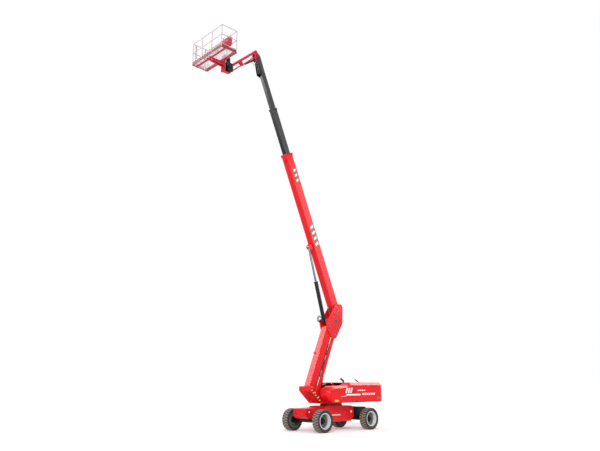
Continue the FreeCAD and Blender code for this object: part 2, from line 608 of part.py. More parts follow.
def tube_along(points, r, bend=None):
    """Round tube through the points; a corner bends by that radius, or as wide as its runs allow."""
    pts = [V(*p) for p in points]
    edges = []
    start = pts[0]
    for before, at, after in zip(pts, pts[1:], pts[2:]):
        back, ahead = before - at, after - at
        half = back.getAngle(ahead) / 2.0
        radius = bend or HOSE_REACH * min(back.Length, ahead.Length) * math.tan(half)
        reach = radius / math.tan(half)
        back.normalize()
        ahead.normalize()
        inward = (back + ahead).normalize() * (radius / math.sin(half) - radius)
        enter, leave = at + back * reach, at + ahead * reach
        edges.append(Part.LineSegment(start, enter).toShape())
        edges.append(Part.Arc(enter, at + inward, leave).toShape())
        start = leave
    edges.append(Part.LineSegment(start, pts[-1]).toShape())
    ring = Part.Wire(Part.Circle(pts[0], pts[1] - pts[0], r).toShape())
    return Part.Wire(edges).makePipeShell([ring], True, False)


def exhaust_pipe():
    """Tail pipe that steps out of the engine bay inside the hood's hinge line."""
    x, z = EXHAUST_X, HOOD_BOTTOM + 760.0
    route = [(x, -620.0, z), (x, -620.0, z + 90.0), (x, EXHAUST_Y, z + 90.0),
             (x, EXHAUST_Y, HOOD_TOP + 90.0), (x + 190.0, EXHAUST_Y, HOOD_TOP + 190.0)]
    outer = tube_along(route, EXHAUST_R, PIPE_BEND)
    end = V(*route[-1])
    way = (end - V(*route[-2])).normalize()
    mouth = Part.makeCylinder(EXHAUST_R - 4.0, 60.0, end - way * 55.0, way)
    return outer.cut(mouth)


def tank_breather():
    """Breather of the oil tank, which leans forward beside the left hood's hinge."""
    route = [(BREATHER_X, BREATHER_Y, WELL_TOP - 40.0), (BREATHER_X, BREATHER_Y, HOOD_TOP + 20.0),
             (BREATHER_X + 250.0, BREATHER_Y, HOOD_TOP + 150.0)]
    pipe = tube_along(route, BREATHER_R, PIPE_BEND)
    foot = box(BREATHER_X - 50.0, BREATHER_X + 50.0, BREATHER_Y - BREATHER_R, BREATHER_Y + BREATHER_R,
               WELL_TOP - 100.0, WELL_TOP - 30.0)
    return union(pipe, foot)


def hood_lamp(side):
    """Oblong marker lamp on the foot of a hood, with a domed lens."""
    middle = LAMP_X - HOOD_BACK[side]
    x0, x1 = middle - LAMP_L / 2.0, middle + LAMP_L / 2.0
    y0 = HOOD_OUT + FACE_GAP
    z0, z1 = LAMP_Z - LAMP_H / 2.0, LAMP_Z + LAMP_H / 2.0
    body = box(x0, x1, y0, y0 + LAMP_T, z0, z1)
    corners = [e for e in body.Edges if e.BoundBox.YLength > LAMP_T - 1.0]
    body = body.makeFillet(LAMP_H * 0.35, corners)
    face = [e for e in body.Edges if e.BoundBox.YMin > y0 + LAMP_T - 0.5]
    body = body.makeFillet(LAMP_T * 0.4, face)
    return body if side > 0 else body.mirror(V(0, 0, 0), V(0, 1, 0))


def hood_latch(side):
    """Paddle latch at a hood's lower edge: a rimmed plate with the paddle in it."""
    x0, x1 = LATCH_X - LATCH_L / 2.0, LATCH_X + LATCH_L / 2.0
    y0 = HOOD_OUT + FACE_GAP
    z0 = HOOD_BOTTOM + 25.0
    plate = box(x0, x1, y0, y0 + LATCH_T * 0.4, z0, z0 + LATCH_H)
    plate = plate.makeFillet(12.0, [e for e in plate.Edges if e.BoundBox.YLength > 1.0])
    paddle = side_plate([(x0 + 14.0, z0 + 10.0), (x1 - 40.0, z0 + 10.0), (x1 - 40.0, z0 + LATCH_H - 10.0),
                         (x0 + 14.0, z0 + LATCH_H - 10.0)], y0 + LATCH_T * 0.3, y0 + LATCH_T, 8.0)
    lock = pin((x1 - 20.0, z0 + LATCH_H / 2.0), 9.0, y0 + LATCH_T * 0.3, y0 + LATCH_T * 0.8)
    body = union(plate, paddle, lock)
    return body if side > 0 else body.mirror(V(0, 0, 0), V(0, 1, 0))


# ================================================================ lower boom
def lower_boom():
    tube = box_tube(FOOT, LOWER_ELEV, 60.0, LOWER_LEN - 40.0, LOWER_DEPTH, LOWER_W, LOWER_WALL, 26.0)
    foot_end = pin(FOOT, LOWER_DEPTH / 2.0 - 12.0, -LOWER_W / 2.0, LOWER_W / 2.0)
    top_end = pin(KNEE, LOWER_DEPTH / 2.0 - 30.0, -LOWER_W / 2.0, LOWER_W / 2.0)
    hub = pin(FOOT, 95.0, -HORN_IN + FACE_GAP, HORN_IN - FACE_GAP)
    top_hub = pin(KNEE, 90.0, -UPRIGHT_IN + FACE_GAP, UPRIGHT_IN - FACE_GAP)
    foot_out = HORN_IN + HORN_T + PIN_OUT
    top_out = UPRIGHT_IN + UPRIGHT_T + PIN_OUT
    shafts = [pin(FOOT, MAIN_PIN_R, -foot_out, foot_out), pin(KNEE, MAIN_PIN_R, -top_out, top_out)]
    lugs = []
    eye_w, _ = rod_eye("lower_lift")
    gap = eye_w + MOVE_GAP
    for side in (-1, 1):
        y0, y1 = mirrored(gap, gap + 30.0, side)
        root = LOWER_DEPTH / 2.0 - 3.0
        a = along(FOOT, LOWER_ELEV, LIFT_ALONG - 190.0, -root)
        b = along(FOOT, LOWER_ELEV, LIFT_ALONG + 150.0, -root)
        c = along(FOOT, LOWER_ELEV, LIFT_ALONG + 55.0, LIFT_OFF - 75.0)
        d = along(FOOT, LOWER_ELEV, LIFT_ALONG - 55.0, LIFT_OFF - 75.0)
        lugs.append(side_plate([a, b, c, d], y0, y1, [0, 0, 45.0, 45.0]))
    guide = prism(along(FOOT, LOWER_ELEV, 1790.0, LOWER_DEPTH / 2.0 + 25.0), LOWER_ELEV, -45.0, 45.0,
                  56.0, 90.0, 8.0, -140.0)
    return union(tube, foot_end, top_end, hub, top_hub, *shafts, *lugs, guide)


def level_link():
    """Ladder of two bars; the lift cylinder passes between them."""
    bars = [lozenge(LINK_FOOT, LINK_TOP, LINK_DEPTH / 2.0, *mirrored(LINK_IN, LINK_IN + LINK_T, side))
            for side in (-1, 1)]
    rungs = [pin(along(LINK_FOOT, LOWER_ELEV, s), 45.0, -LINK_IN - 5.0, LINK_IN + 5.0)
             for s in (190.0, LOWER_LEN - 850.0)]
    hubs = []
    for at, inner in ((LINK_FOOT, EAR_IN), (LINK_TOP, UPRIGHT_IN)):
        out = inner + EAR_T + PIN_OUT
        hubs.append(pin(at, 66.0, -inner + FACE_GAP, inner - FACE_GAP))
        hubs.append(pin(at, LINK_PIN_R, -out, out))
    return union(*bars, *rungs, *hubs)


# ================================================================ upright
def upright():
    """Two cut plates with a closed back; both booms, link and cylinders pin between them."""
    shape = [(-640.0, 6270.0), (-120.0, 6270.0), (-60.0, 6040.0), (330.0, 5500.0), (560.0, 5420.0),
             (530.0, 5260.0), (430.0, 4900.0), (110.0, 4480.0), (-180.0, 4480.0), (-690.0, 5290.0),
             (-720.0, 6100.0)]
    radii = [120.0, 110.0, 80.0, 60.0, 55.0, 60.0, 110.0, 90.0, 90.0, 120.0, 60.0]
    plates = []
    for side in (-1, 1):
        plate = side_plate(shape, *mirrored(UPRIGHT_IN, UPRIGHT_IN + UPRIGHT_T, side), radii)
        lightening = [pin(at, r, -400, 400) for at, r in UPRIGHT_HOLES]
        plates.append(plate.cut(Part.makeCompound(lightening)))
    inner = UPRIGHT_IN + 1.0
    back = side_plate([(-270.0, 4640.0), (-250.0, 4650.0), (-668.0, 5312.0), (-686.0, 5560.0),
                       (-706.0, 5560.0), (-690.0, 5300.0)], -inner, inner)
    tie = pin((-430.0, 5130.0), 40.0, -inner, inner)
    solid = union(*plates, back, tie)
    holes = [pin(KNEE, MAIN_PIN_R + PIN_GAP, -400, 400), pin(ELBOW, MAIN_PIN_R + PIN_GAP, -400, 400),
             pin(LINK_TOP, LINK_PIN_R + PIN_GAP, -400, 400),
             pin(MAIN_CYL_BASE, CYL_PIN_R["main_lift"] + PIN_GAP, -400, 400),
             pin(MASTER_BASE, CYL_PIN_R["master_level"] + PIN_GAP, -400, 400)]
    return solid.cut(Part.makeCompound(holes))


def upright_hose():
    """Hose loop that leaves and enters the right plate, in front of the cylinder's foot."""
    face = -(UPRIGHT_IN + UPRIGHT_T + FACE_GAP)
    y = face - LOOP_OUT
    inside = face - LOOP_R / 2.0
    start, end = (505.0, 5305.0), (270.0, 5440.0)
    loop = [(640.0, 5370.0), (700.0, 5540.0), (620.0, 5700.0), (440.0, 5690.0), (330.0, 5560.0)]
    route = [(start[0], inside, start[1]), (start[0] + 20.0, y, start[1] + 5.0)]
    route += [(x, y, z) for x, z in loop]
    route += [(end[0] + 10.0, y, end[1] + 15.0), (end[0], inside, end[1])]
    collars = [pin(at, LOOP_R + 9.0, face - 26.0, face) for at in (start, end)]
    return union(tube_along(route, LOOP_R), *collars)


# ================================================================ telescopic boom
def collar(s0, s1, outer_depth, outer_w, inner_depth, inner_w):
    ring = prism(ELBOW, BOOM_ELEV, s0, s1, outer_depth, outer_w, 24.0)
    hole = prism(ELBOW, BOOM_ELEV, s0 - 1, s1 + 1, inner_depth + 2 * FACE_GAP, inner_w + 2 * FACE_GAP, 20.0)
    return ring.cut(hole)


def main_boom():
    tube = box_tube(ELBOW, BOOM_ELEV, MAIN_START, MAIN_END, MAIN_DEPTH, MAIN_W, MAIN_WALL, 30.0)
    pads = collar(MAIN_END - 150.0, MAIN_END, MAIN_DEPTH - 2.0, MAIN_W - 2.0, MID_DEPTH, MID_W)
    band = collar(MAIN_END - 110.0, MAIN_END + 12.0, MAIN_DEPTH + 44.0, MAIN_W + 44.0, MID_DEPTH, MID_W)
    hub = pin(ELBOW, 95.0, -UPRIGHT_IN + FACE_GAP, UPRIGHT_IN - FACE_GAP)
    out = UPRIGHT_IN + UPRIGHT_T + PIN_OUT
    shaft = pin(ELBOW, MAIN_PIN_R, -out, out)
    lugs = []
    for name, s, n, half_l, t in (("main_lift", MAIN_CYL_ALONG, MAIN_CYL_OFF, 260.0, 30.0),
                                  ("master_level", MASTER_ALONG, MASTER_OFF, 90.0, 20.0)):
        eye_w, eye_r = rod_eye(name)
        for side in (-1, 1):
            y0, y1 = mirrored(eye_w + MOVE_GAP, eye_w + MOVE_GAP + t, side)
            root = MAIN_DEPTH / 2.0 - 3.0
            corners = [(s - half_l, root), (s - eye_r * 0.8, n + eye_r), (s + eye_r * 0.8, n + eye_r),
                       (s + half_l * 0.7, root)]
            pts = [along(ELBOW, BOOM_ELEV, *at) for at in corners]
            lugs.append(side_plate(pts, y0, y1, [0, eye_r * 0.6, eye_r * 0.6, 0]))
    stop = prism(along(ELBOW, BOOM_ELEV, MAIN_END - 330.0, MAIN_DEPTH / 2.0 + 30.0), BOOM_ELEV, -70.0, 70.0,
                 70.0, 150.0, 8.0)
    return union(tube, pads, band, hub, shaft, *lugs, stop)


def mid_boom():
    tube = box_tube(ELBOW, BOOM_ELEV, MID_END - MID_LEN, MID_END, MID_DEPTH, MID_W, MID_WALL, 24.0)
    pads = collar(MID_END - 120.0, MID_END, MID_DEPTH - 2.0, MID_W - 2.0, FLY_DEPTH, FLY_W)
    band = collar(MID_END - 90.0, MID_END + 10.0, MID_DEPTH + 30.0, MID_W + 30.0, FLY_DEPTH, FLY_W)
    return union(tube, pads, band)


def fly_boom():
    return box_tube(ELBOW, BOOM_ELEV, FLY_END - FLY_LEN, FLY_END, FLY_DEPTH, FLY_W, FLY_WALL, 20.0)


def boom_head():
    """Fork at the fly boom's end that holds the jib bracket and the levelling cylinder."""
    cheeks = []
    inner = FLY_W / 2.0
    for side in (-1, 1):
        y0, y1 = mirrored(inner + FACE_GAP, inner + FACE_GAP + CHEEK_T, side)
        corners = [(HEAD_START, -90.0), (HEAD_PIN - 60.0, -120.0), (HEAD_PIN + 110.0, -70.0),
                   (HEAD_PIN + 110.0, 80.0), (HEAD_PIN - 150.0, 130.0), (TIP_ALONG + 60.0, TIP_OFF + 60.0),
                   (TIP_ALONG - 70.0, TIP_OFF + 60.0), (HEAD_START, 90.0)]
        pts = [along(ELBOW, BOOM_ELEV, *at) for at in corners]
        cheeks.append(side_plate(pts, y0, y1, [20, 60, 60, 60, 80, 50, 50, 20]))
    plug = prism(ELBOW, BOOM_ELEV, FLY_END, FLY_END + 20.0, FLY_DEPTH - 20.0, FLY_W + 4.0, 0.0)
    solid = union(plug, *cheeks)
    holes = [pin(HEAD, HEAD_PIN_R + PIN_GAP, -400, 400),
             pin(TIP_BASE, CYL_PIN_R["tip_level"] + PIN_GAP, -400, 400)]
    return solid.cut(Part.makeCompound(holes))


def head_hose():
    """Hose loop that hangs in front of the boom head, from its left cheek and back to it."""
    face = HEAD_OUT
    y = face + 45.0

    def at(s, n, y_at):
        x, z = along(ELBOW, BOOM_ELEV, s, n)
        return (x, y_at, z)

    start, end = (HEAD_PIN - 90.0, 60.0), (TIP_ALONG + 130.0, TIP_OFF - 20.0)
    loop = [(HEAD_PIN - 70.0, 330.0), (HEAD_PIN - 60.0, 560.0), (HEAD_PIN - 180.0, 680.0),
            (HEAD_PIN - 350.0, 640.0), (HEAD_PIN - 520.0, 480.0), (HEAD_PIN - 690.0, 330.0)]
    inside = face + HEAD_HOSE_R
    route = [at(*start, inside), at(start[0] + 5.0, start[1] + 30.0, y)]
    route += [at(s, n, y) for s, n in loop]
    route += [at(end[0] + 5.0, end[1] + 15.0, y), at(*end, inside)]
    collars = [pin((at(*p, 0.0)[0], at(*p, 0.0)[2]), 21.0, face, face + 24.0) for p in (start, end)]
    return union(tube_along(route, HEAD_HOSE_R), *collars)


# ================================================================ jib
def jib_bracket():
    """Levelled bracket in the boom head; the jib arm, its link and cylinder hang on it."""
    plates = []
    for side in (-1, 1):
        pts = [(HEAD[0] - 75.0, HEAD[1] + 60.0), (JIB_FOOT[0] - 40.0, JIB_FOOT[1] + 85.0),
               (JIB_FOOT[0] + 75.0, JIB_FOOT[1] + 60.0), (JIB_LINK_FOOT[0] + 75.0, JIB_LINK_FOOT[1] - 40.0),
               (JIB_CYL_FOOT[0] + 60.0, JIB_CYL_FOOT[1] - 55.0), (TIP_PIN[0] - 50.0, TIP_PIN[1] - 50.0),
               (HEAD[0] - 75.0, HEAD[1] - 60.0)]
        plates.append(side_plate(pts, *mirrored(JIB_PLATE_IN, JIB_PLATE_IN + BRACKET_T, side),
                                 [60, 60, 60, 50, 45, 45, 60]))
    reach = HEAD_OUT + PIN_OUT
    hub = pin(HEAD, 60.0, -FLY_W / 2.0, FLY_W / 2.0)
    shaft = pin(HEAD, HEAD_PIN_R, -reach, reach)
    solid = union(*plates, hub, shaft)
    holes = [pin(JIB_FOOT, JIB_PIN_R + PIN_GAP, -400, 400),
             pin(JIB_LINK_FOOT, JIB_LINK_PIN_R + PIN_GAP, -400, 400),
             pin(JIB_CYL_FOOT, CYL_PIN_R["jib_lift"] + PIN_GAP, -400, 400)]
    return solid.cut(Part.makeCompound(holes))


def jib_arm():
    """Upper jib tube with pivot ends and the lugs of its lift cylinder."""
    bar = box_tube(JIB_FOOT, JIB_ELEV, 50.0, JIB_LEN - 50.0, JIB_DEPTH, JIB_W, 8.0, 16.0)
    ends = [pin(at, JIB_DEPTH / 2.0, -JIB_W / 2.0, JIB_W / 2.0) for at in (JIB_FOOT, JIB_END)]
    shafts = [pin(at, JIB_PIN_R, -JIB_PIN_REACH, JIB_PIN_REACH) for at in (JIB_FOOT, JIB_END)]
    lugs = []
    eye_w, _ = rod_eye("jib_lift")
    for side in (-1, 1):
        y0, y1 = mirrored(eye_w + MOVE_GAP, eye_w + MOVE_GAP + 15.0, side)
        root = JIB_DEPTH / 2.0 - 3.0
        pts = [along(JIB_FOOT, JIB_ELEV, JIB_CYL_ALONG - 130.0, root),
               along(JIB_FOOT, JIB_ELEV, JIB_CYL_ALONG - 35.0, JIB_CYL_OFF + 42.0),
               along(JIB_FOOT, JIB_ELEV, JIB_CYL_ALONG + 35.0, JIB_CYL_OFF + 42.0),
               along(JIB_FOOT, JIB_ELEV, JIB_CYL_ALONG + 110.0, root)]
        lugs.append(side_plate(pts, y0, y1, [0, 30, 30, 0]))
    return union(bar, *ends, *shafts, *lugs)


def jib_link():
    """Lower pair of jib bars, with the cylinder between them."""
    bars = [lozenge(JIB_LINK_FOOT, JIB_LINK_END, 32.0, *mirrored(JIB_W / 2.0 - 15.0, JIB_W / 2.0, side))
            for side in (-1, 1)]
    end_shaft = pin(JIB_LINK_END, JIB_LINK_PIN_R, -JIB_PIN_REACH, JIB_PIN_REACH)
    stubs = [pin(JIB_LINK_FOOT, JIB_LINK_PIN_R, *mirrored(JIB_W / 2.0 - 15.0, JIB_PIN_REACH, side))
             for side in (-1, 1)]
    return union(*bars, end_shaft, *stubs)


def jib_head():
    """Levelled end plates of the jib with the clamp round the rotary actuator."""
    plates = []
    for side in (-1, 1):
        pts = [(JIB_END[0] - 60.0, JIB_END[1] + 60.0), (ROTATOR_X, JIB_END[1] + 130.0),
               (ROTATOR_X, ROTATOR_LOW + 60.0), (JIB_LINK_END[0] - 60.0, JIB_LINK_END[1] - 60.0)]
        plates.append(side_plate(pts, *mirrored(JIB_PLATE_IN, JIB_PLATE_IN + BRACKET_T, side),
                                 [50, 10, 10, 50]))
    clamp = Part.makeCylinder(ROTATOR_R + 25.0, 460.0, V(ROTATOR_X, 0, ROTATOR_LOW + 60.0))
    solid = union(clamp, *plates)
    holes = [pin(JIB_END, JIB_PIN_R + PIN_GAP, -400, 400),
             pin(JIB_LINK_END, JIB_LINK_PIN_R + PIN_GAP, -400, 400),
             Part.makeCylinder(ROTATOR_R + FACE_GAP, 2000.0, V(ROTATOR_X, 0, JIB_LINK_END[1] - 500.0)),
             box(JIB_END[0] - 200.0, ROTATOR_X - ROTATOR_R, -JIB_PLATE_IN, JIB_PLATE_IN,
                 JIB_LINK_END[1] - 300.0, JIB_END[1] + 300.0)]
    return solid.cut(Part.makeCompound(holes))


def rotary_actuator():
    return Part.makeCylinder(ROTATOR_R, ROTATOR_HIGH - ROTATOR_LOW, V(ROTATOR_X, 0, ROTATOR_LOW))


# ================================================================ platform
def platform_support():
    """Yoke on the actuator's ends, a post behind the basket and beams under its floor."""
    arms = []
    arm_x1 = PLAT_REAR - 60.0
    for z in (ROTATOR_HIGH + FACE_GAP, ROTATOR_LOW - 30.0 - FACE_GAP):
        bar = box(ROTATOR_X, arm_x1, -90.0, 90.0, z, z + 30.0)
        tip = Part.makeCylinder(90.0, 30.0, V(ROTATOR_X, 0, z))
        arms.append(bar.fuse(tip))
    post = box(arm_x1 - 80.0, arm_x1, -130.0, 130.0, ROTATOR_LOW - 30.0, ROTATOR_HIGH + 60.0)
    top = FLOOR_Z - 40.0
    beams = [side_plate([(arm_x1 - 40.0, top - 140.0), (arm_x1 + 200.0, top - 140.0),
                         (PLAT_FRONT - 120.0, top - 60.0), (PLAT_FRONT - 120.0, top),
                         (arm_x1 - 40.0, top)], *mirrored(70.0, 130.0, side))
             for side in (-1, 1)]
    cross = [box(x, x + 60.0, -PLAT_W / 2.0 + 60.0, PLAT_W / 2.0 - 60.0, top - 60.0, top)
             for x in (PLAT_REAR + 120.0, PLAT_FRONT - 240.0)]
    return union(*arms, post, *beams, *cross)


def platform_floor():
    """Open floor: a frame of angle with bars from end to end."""
    frame_t, bar_t = 40.0, 14.0
    x0, x1, y1 = PLAT_REAR, PLAT_FRONT, PLAT_W / 2.0
    parts = [box(x0, x0 + 30.0, -y1, y1, FLOOR_Z - frame_t, FLOOR_Z),
             box(x1 - 30.0, x1, -y1, y1, FLOOR_Z - frame_t, FLOOR_Z),
             box(x0, x1, -y1, -y1 + 30.0, FLOOR_Z - frame_t, FLOOR_Z),
             box(x0, x1, y1 - 30.0, y1, FLOOR_Z - frame_t, FLOOR_Z)]
    count = 13
    pitch = (PLAT_DEPTH - 60.0) / (count + 1)
    for i in range(count):
        x = x0 + 30.0 + pitch * (i + 1)
        parts.append(box(x - bar_t / 2.0, x + bar_t / 2.0, -y1 + 20.0, y1 - 20.0,
                         FLOOR_Z - 30.0, FLOOR_Z - 6.0))
    for y in (-700.0, 0.0, 700.0):
        parts.append(box(x0 + 20.0, x1 - 20.0, y - 15.0, y + 15.0, FLOOR_Z - 36.0, FLOOR_Z - 12.0))
    return union(*parts)


def rail(a, b):
    way = V(*b) - V(*a)
    return Part.makeCylinder(RAIL_R, way.Length, V(*a), way)


def platform_rails():
    """Guard rails; the right end is left open for the gate."""
    x0, x1, y1 = PLAT_REAR + POST_R, PLAT_FRONT - POST_R, PLAT_W / 2.0 - POST_R
    z0 = FLOOR_Z + FACE_GAP
    gate_x = x0 + (PLAT_DEPTH - GATE_W) / 2.0
    parts = []
    for z in RAIL_HEIGHTS:
        parts += [rail((x0, -y1, z), (x0, y1, z)), rail((x1, -y1, z), (x1, y1, z)),
                  rail((x0, y1, z), (x1, y1, z)),
                  rail((x0, -y1, z), (gate_x, -y1, z)), rail((x1, -y1, z), (x1 - (gate_x - x0), -y1, z))]
    posts = [(x, y) for x in (x0, x1) for y in (-y1, -y1 / 3.0, y1 / 3.0, y1)]
    posts += [(gate_x, -y1), (x1 - (gate_x - x0), -y1)]
    top = RAIL_HEIGHTS[-1] + RAIL_R + 3.0
    parts += [Part.makeCylinder(POST_R, top - z0, V(x, y, z0)) for x, y in posts]
    return union(*parts)


def platform_gate():
    """Hinged gate in the right end, swings into the platform."""
    x0, x1, y = PLAT_REAR + POST_R, PLAT_FRONT - POST_R, -PLAT_W / 2.0 + POST_R
    gate_x = x0 + (PLAT_DEPTH - GATE_W) / 2.0
    a = gate_x + 2 * POST_R + FACE_GAP
    b = x1 - (gate_x - x0) - 2 * POST_R - MOVE_GAP
    parts = [rail((a, y, z), (b, y, z)) for z in RAIL_HEIGHTS]
    low, high = RAIL_HEIGHTS[0] - RAIL_R - 3.0, RAIL_HEIGHTS[-1] + RAIL_R + 3.0
    parts += [Part.makeCylinder(POST_R, high - low, V(x, y, low)) for x in (a, b)]
    return union(*parts)


def control_console():
    """Sloping control box on the rails next to the jib."""
    x0, z0 = CONSOLE_REAR, CONSOLE_LOW
    x1 = x0 + CONSOLE_DEPTH
    return side_plate([(x0, z0), (x0 + 90.0, z0), (x1, z0 + 160.0), (x1, z0 + CONSOLE_H - 100.0),
                       (x0 + 90.0, z0 + CONSOLE_H), (x0, z0 + CONSOLE_H - 20.0)], *CONSOLE_Y, 20.0)


def console_controls():
    """Two joysticks, a row of switches and the stop button, on the console's slope."""
    x0, z1 = CONSOLE_REAR, CONSOLE_LOW + CONSOLE_H
    high, low_end = (x0 + 90.0, z1), (x0 + CONSOLE_DEPTH, z1 - 100.0)
    slope, length = aim(high, low_end)
    y0, y1 = CONSOLE_Y

    def stand(share, y, r, low, high):
        """Round piece square to the slope, at a share of its length, on its face."""
        x, z = along(low_end, slope, -share * length, -low - FACE_GAP)
        c, k = direction(slope)
        return Part.makeCylinder(r, high - low, V(x, y, z), V(-k, 0, c))

    made = []
    for y in (y0 + 110.0, y1 - 110.0):
        made.append(union(stand(0.5, y, 34.0, 0.0, 14.0), stand(0.5, y, STICK_R, 8.0, STICK_H),
                          stand(0.5, y, STICK_R + 9.0, STICK_H - 38.0, STICK_H + 12.0)))
    middle = (y0 + y1) / 2.0
    for y in (-75.0, -25.0, 25.0, 75.0):
        made.append(union(stand(0.35, middle + y, 13.0, 0.0, 8.0), stand(0.35, middle + y, 5.0, 4.0, 28.0)))
    made.append(union(stand(0.72, middle, 14.0, 0.0, 16.0), stand(0.72, middle, BUTTON_R, 14.0, 30.0)))
    return Part.makeCompound(made)


# ================================================================ all nodes
def nodes():
    made = {
        "chassis_frame": chassis_frame(), "axles": axles(), "slew_ring": slew_ring(),
        "tie_down_lugs": tie_down_lugs(), "turntable_frame": turntable_frame(),
        "counterweight": counterweight(), "engine_block": engine_block(), "tanks": tanks(),
        "exhaust_pipe": exhaust_pipe(), "left_hood": hood(1), "right_hood": hood(-1),
        "lower_boom": lower_boom(), "level_link": level_link(), "upright": upright(),
        "main_boom": main_boom(), "mid_boom": mid_boom(), "fly_boom": fly_boom(),
        "boom_head": boom_head(), "jib_bracket": jib_bracket(), "jib_arm": jib_arm(),
        "jib_link": jib_link(), "jib_head": jib_head(), "rotary_actuator": rotary_actuator(),
        "platform_support": platform_support(), "platform_floor": platform_floor(),
        "platform_rails": platform_rails(), "platform_gate": platform_gate(),
        "control_console": control_console(), "console_controls": console_controls(),
        "tank_breather": tank_breather(), "upright_hose": upright_hose(), "head_hose": head_hose(),
        "left_hood_lamp": hood_lamp(1), "right_hood_lamp": hood_lamp(-1),
        "left_hood_latch": hood_latch(1), "right_hood_latch": hood_latch(-1),
    }
    for name, (centre_x, side) in WHEELS.items():
        made[name + "_tyre"] = tyre(centre_x, side)
        made[name + "_rim"] = rim(centre_x, side)
        made[name + "_knuckle"] = knuckle(centre_x, side)
    plate_out = {"lower_lift": EAR_IN + EAR_T, "main_lift": UPRIGHT_IN + UPRIGHT_T,
                 "master_level": UPRIGHT_IN + UPRIGHT_T, "tip_level": HEAD_OUT,
                 "jib_lift": JIB_PLATE_IN + BRACKET_T}
    for name in CYLINDERS:
        made[name + "_barrel"] = cylinder_barrel(name, plate_out[name])
        made[name + "_rod"] = cylinder_rod(name)
    return made


def main():
    os.makedirs("parts", exist_ok=True)
    for name, shape in nodes().items():
        shape.translate(V(SHIFT_X, 0, 0))
        shape.exportStep("parts/" + name + ".step")


if __name__ == "__main__":
    main()
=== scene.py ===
import json
import math

import bmesh
import bpy
from mathutils import Matrix, Vector


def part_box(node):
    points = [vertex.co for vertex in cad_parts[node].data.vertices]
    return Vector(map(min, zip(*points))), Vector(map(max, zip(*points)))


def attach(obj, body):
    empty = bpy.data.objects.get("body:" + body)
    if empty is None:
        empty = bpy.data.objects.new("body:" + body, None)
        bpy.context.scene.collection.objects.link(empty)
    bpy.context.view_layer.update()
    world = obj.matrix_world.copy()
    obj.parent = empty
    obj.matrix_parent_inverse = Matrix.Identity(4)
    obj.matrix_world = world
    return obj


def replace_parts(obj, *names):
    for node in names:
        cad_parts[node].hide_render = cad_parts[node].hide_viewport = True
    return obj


# Boom lift: finishes, tread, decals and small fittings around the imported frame.
# Metres.  +X is the machine's front, +Y its left, +Z up, z = 0 the ground.

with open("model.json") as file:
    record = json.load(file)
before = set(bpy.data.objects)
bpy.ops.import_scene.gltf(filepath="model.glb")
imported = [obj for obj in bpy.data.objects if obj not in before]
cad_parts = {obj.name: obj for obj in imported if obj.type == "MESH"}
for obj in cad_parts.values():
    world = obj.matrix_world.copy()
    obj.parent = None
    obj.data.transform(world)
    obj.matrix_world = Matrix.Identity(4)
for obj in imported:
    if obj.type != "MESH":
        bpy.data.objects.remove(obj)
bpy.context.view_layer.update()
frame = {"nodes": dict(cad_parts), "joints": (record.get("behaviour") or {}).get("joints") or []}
JOINTS = {joint["name"]: joint for joint in frame["joints"]}


# ---------------------------------------------------------------- shader maths
class Field:
    """A socket of a node tree, with Python's operators standing for Math nodes."""

    def __init__(self, graph, socket):
        self.graph = graph
        self.socket = socket

    def _maths(self, operation, *values):
        return self.graph.node("ShaderNodeMath", {"operation": operation}, dict(enumerate(values)))

    def __add__(self, other):
        return self._maths("ADD", self, other)

    def __sub__(self, other):
        return self._maths("SUBTRACT", self, other)

    def __rsub__(self, other):
        return self._maths("SUBTRACT", other, self)

    def __mul__(self, other):
        return self._maths("MULTIPLY", self, other)

    def __truediv__(self, other):
        return self._maths("DIVIDE", self, other)

    def __gt__(self, other):
        return self._maths("GREATER_THAN", self, other)

    def __pow__(self, other):
        return self._maths("POWER", self, other)

    def __abs__(self):
        return self._maths("ABSOLUTE", self)

    def __mod__(self, other):
        return self._maths("FLOORED_MODULO", self, other)

    __radd__ = __add__
    __rmul__ = __mul__

    def larger(self, other):
        return self._maths("MAXIMUM", self, other)

    def clamp(self):
        return self.graph.node("ShaderNodeClamp", {}, {"Value": self})

    def step(self, low, high):
        """0 below low, 1 above high, smooth between; low may be the larger."""
        return self.graph.node("ShaderNodeMapRange", {"interpolation_type": "SMOOTHSTEP"},
                                 dict(enumerate((self, low, high, 0.0, 1.0))))


# numbers of a Mix node's sockets: its two colours and the colour it gives, and its two plain numbers
MIX_COLOURS, MIX_COLOUR_OUT = (6, 7), 2
MIX_NUMBERS = (2, 3)


class Graph:
    """A tree of shader or geometry nodes, and the one way in which nodes are added to it."""

    def __init__(self, tree):
        self.tree = tree

    def link(self, source, target):
        """Joins a field to a socket, or sets the socket to a plain value."""
        if isinstance(source, Field):
            self.tree.links.new(source.socket, target)
        else:
            target.default_value = source

    def node(self, kind, settings, values, output=0):
        """Adds a node: its settings first, then what its sockets get, by their name or number."""
        made = self.tree.nodes.new(kind)
        for key, value in settings.items():
            setattr(made, key, value)
        for entry, value in values.items():
            self.link(value, made.inputs[entry])
        return Field(self, made.outputs[output])

    def mix(self, mask, below, above):
        """Colour below where mask is 0 and above where it is 1."""
        first, second = (colour if isinstance(colour, Field) else (*colour, 1.0) for colour in (below, above))
        a, b = MIX_COLOURS
        return self.node("ShaderNodeMix", {"data_type": "RGBA"}, {"Factor": mask, a: first, b: second},
                         MIX_COLOUR_OUT)


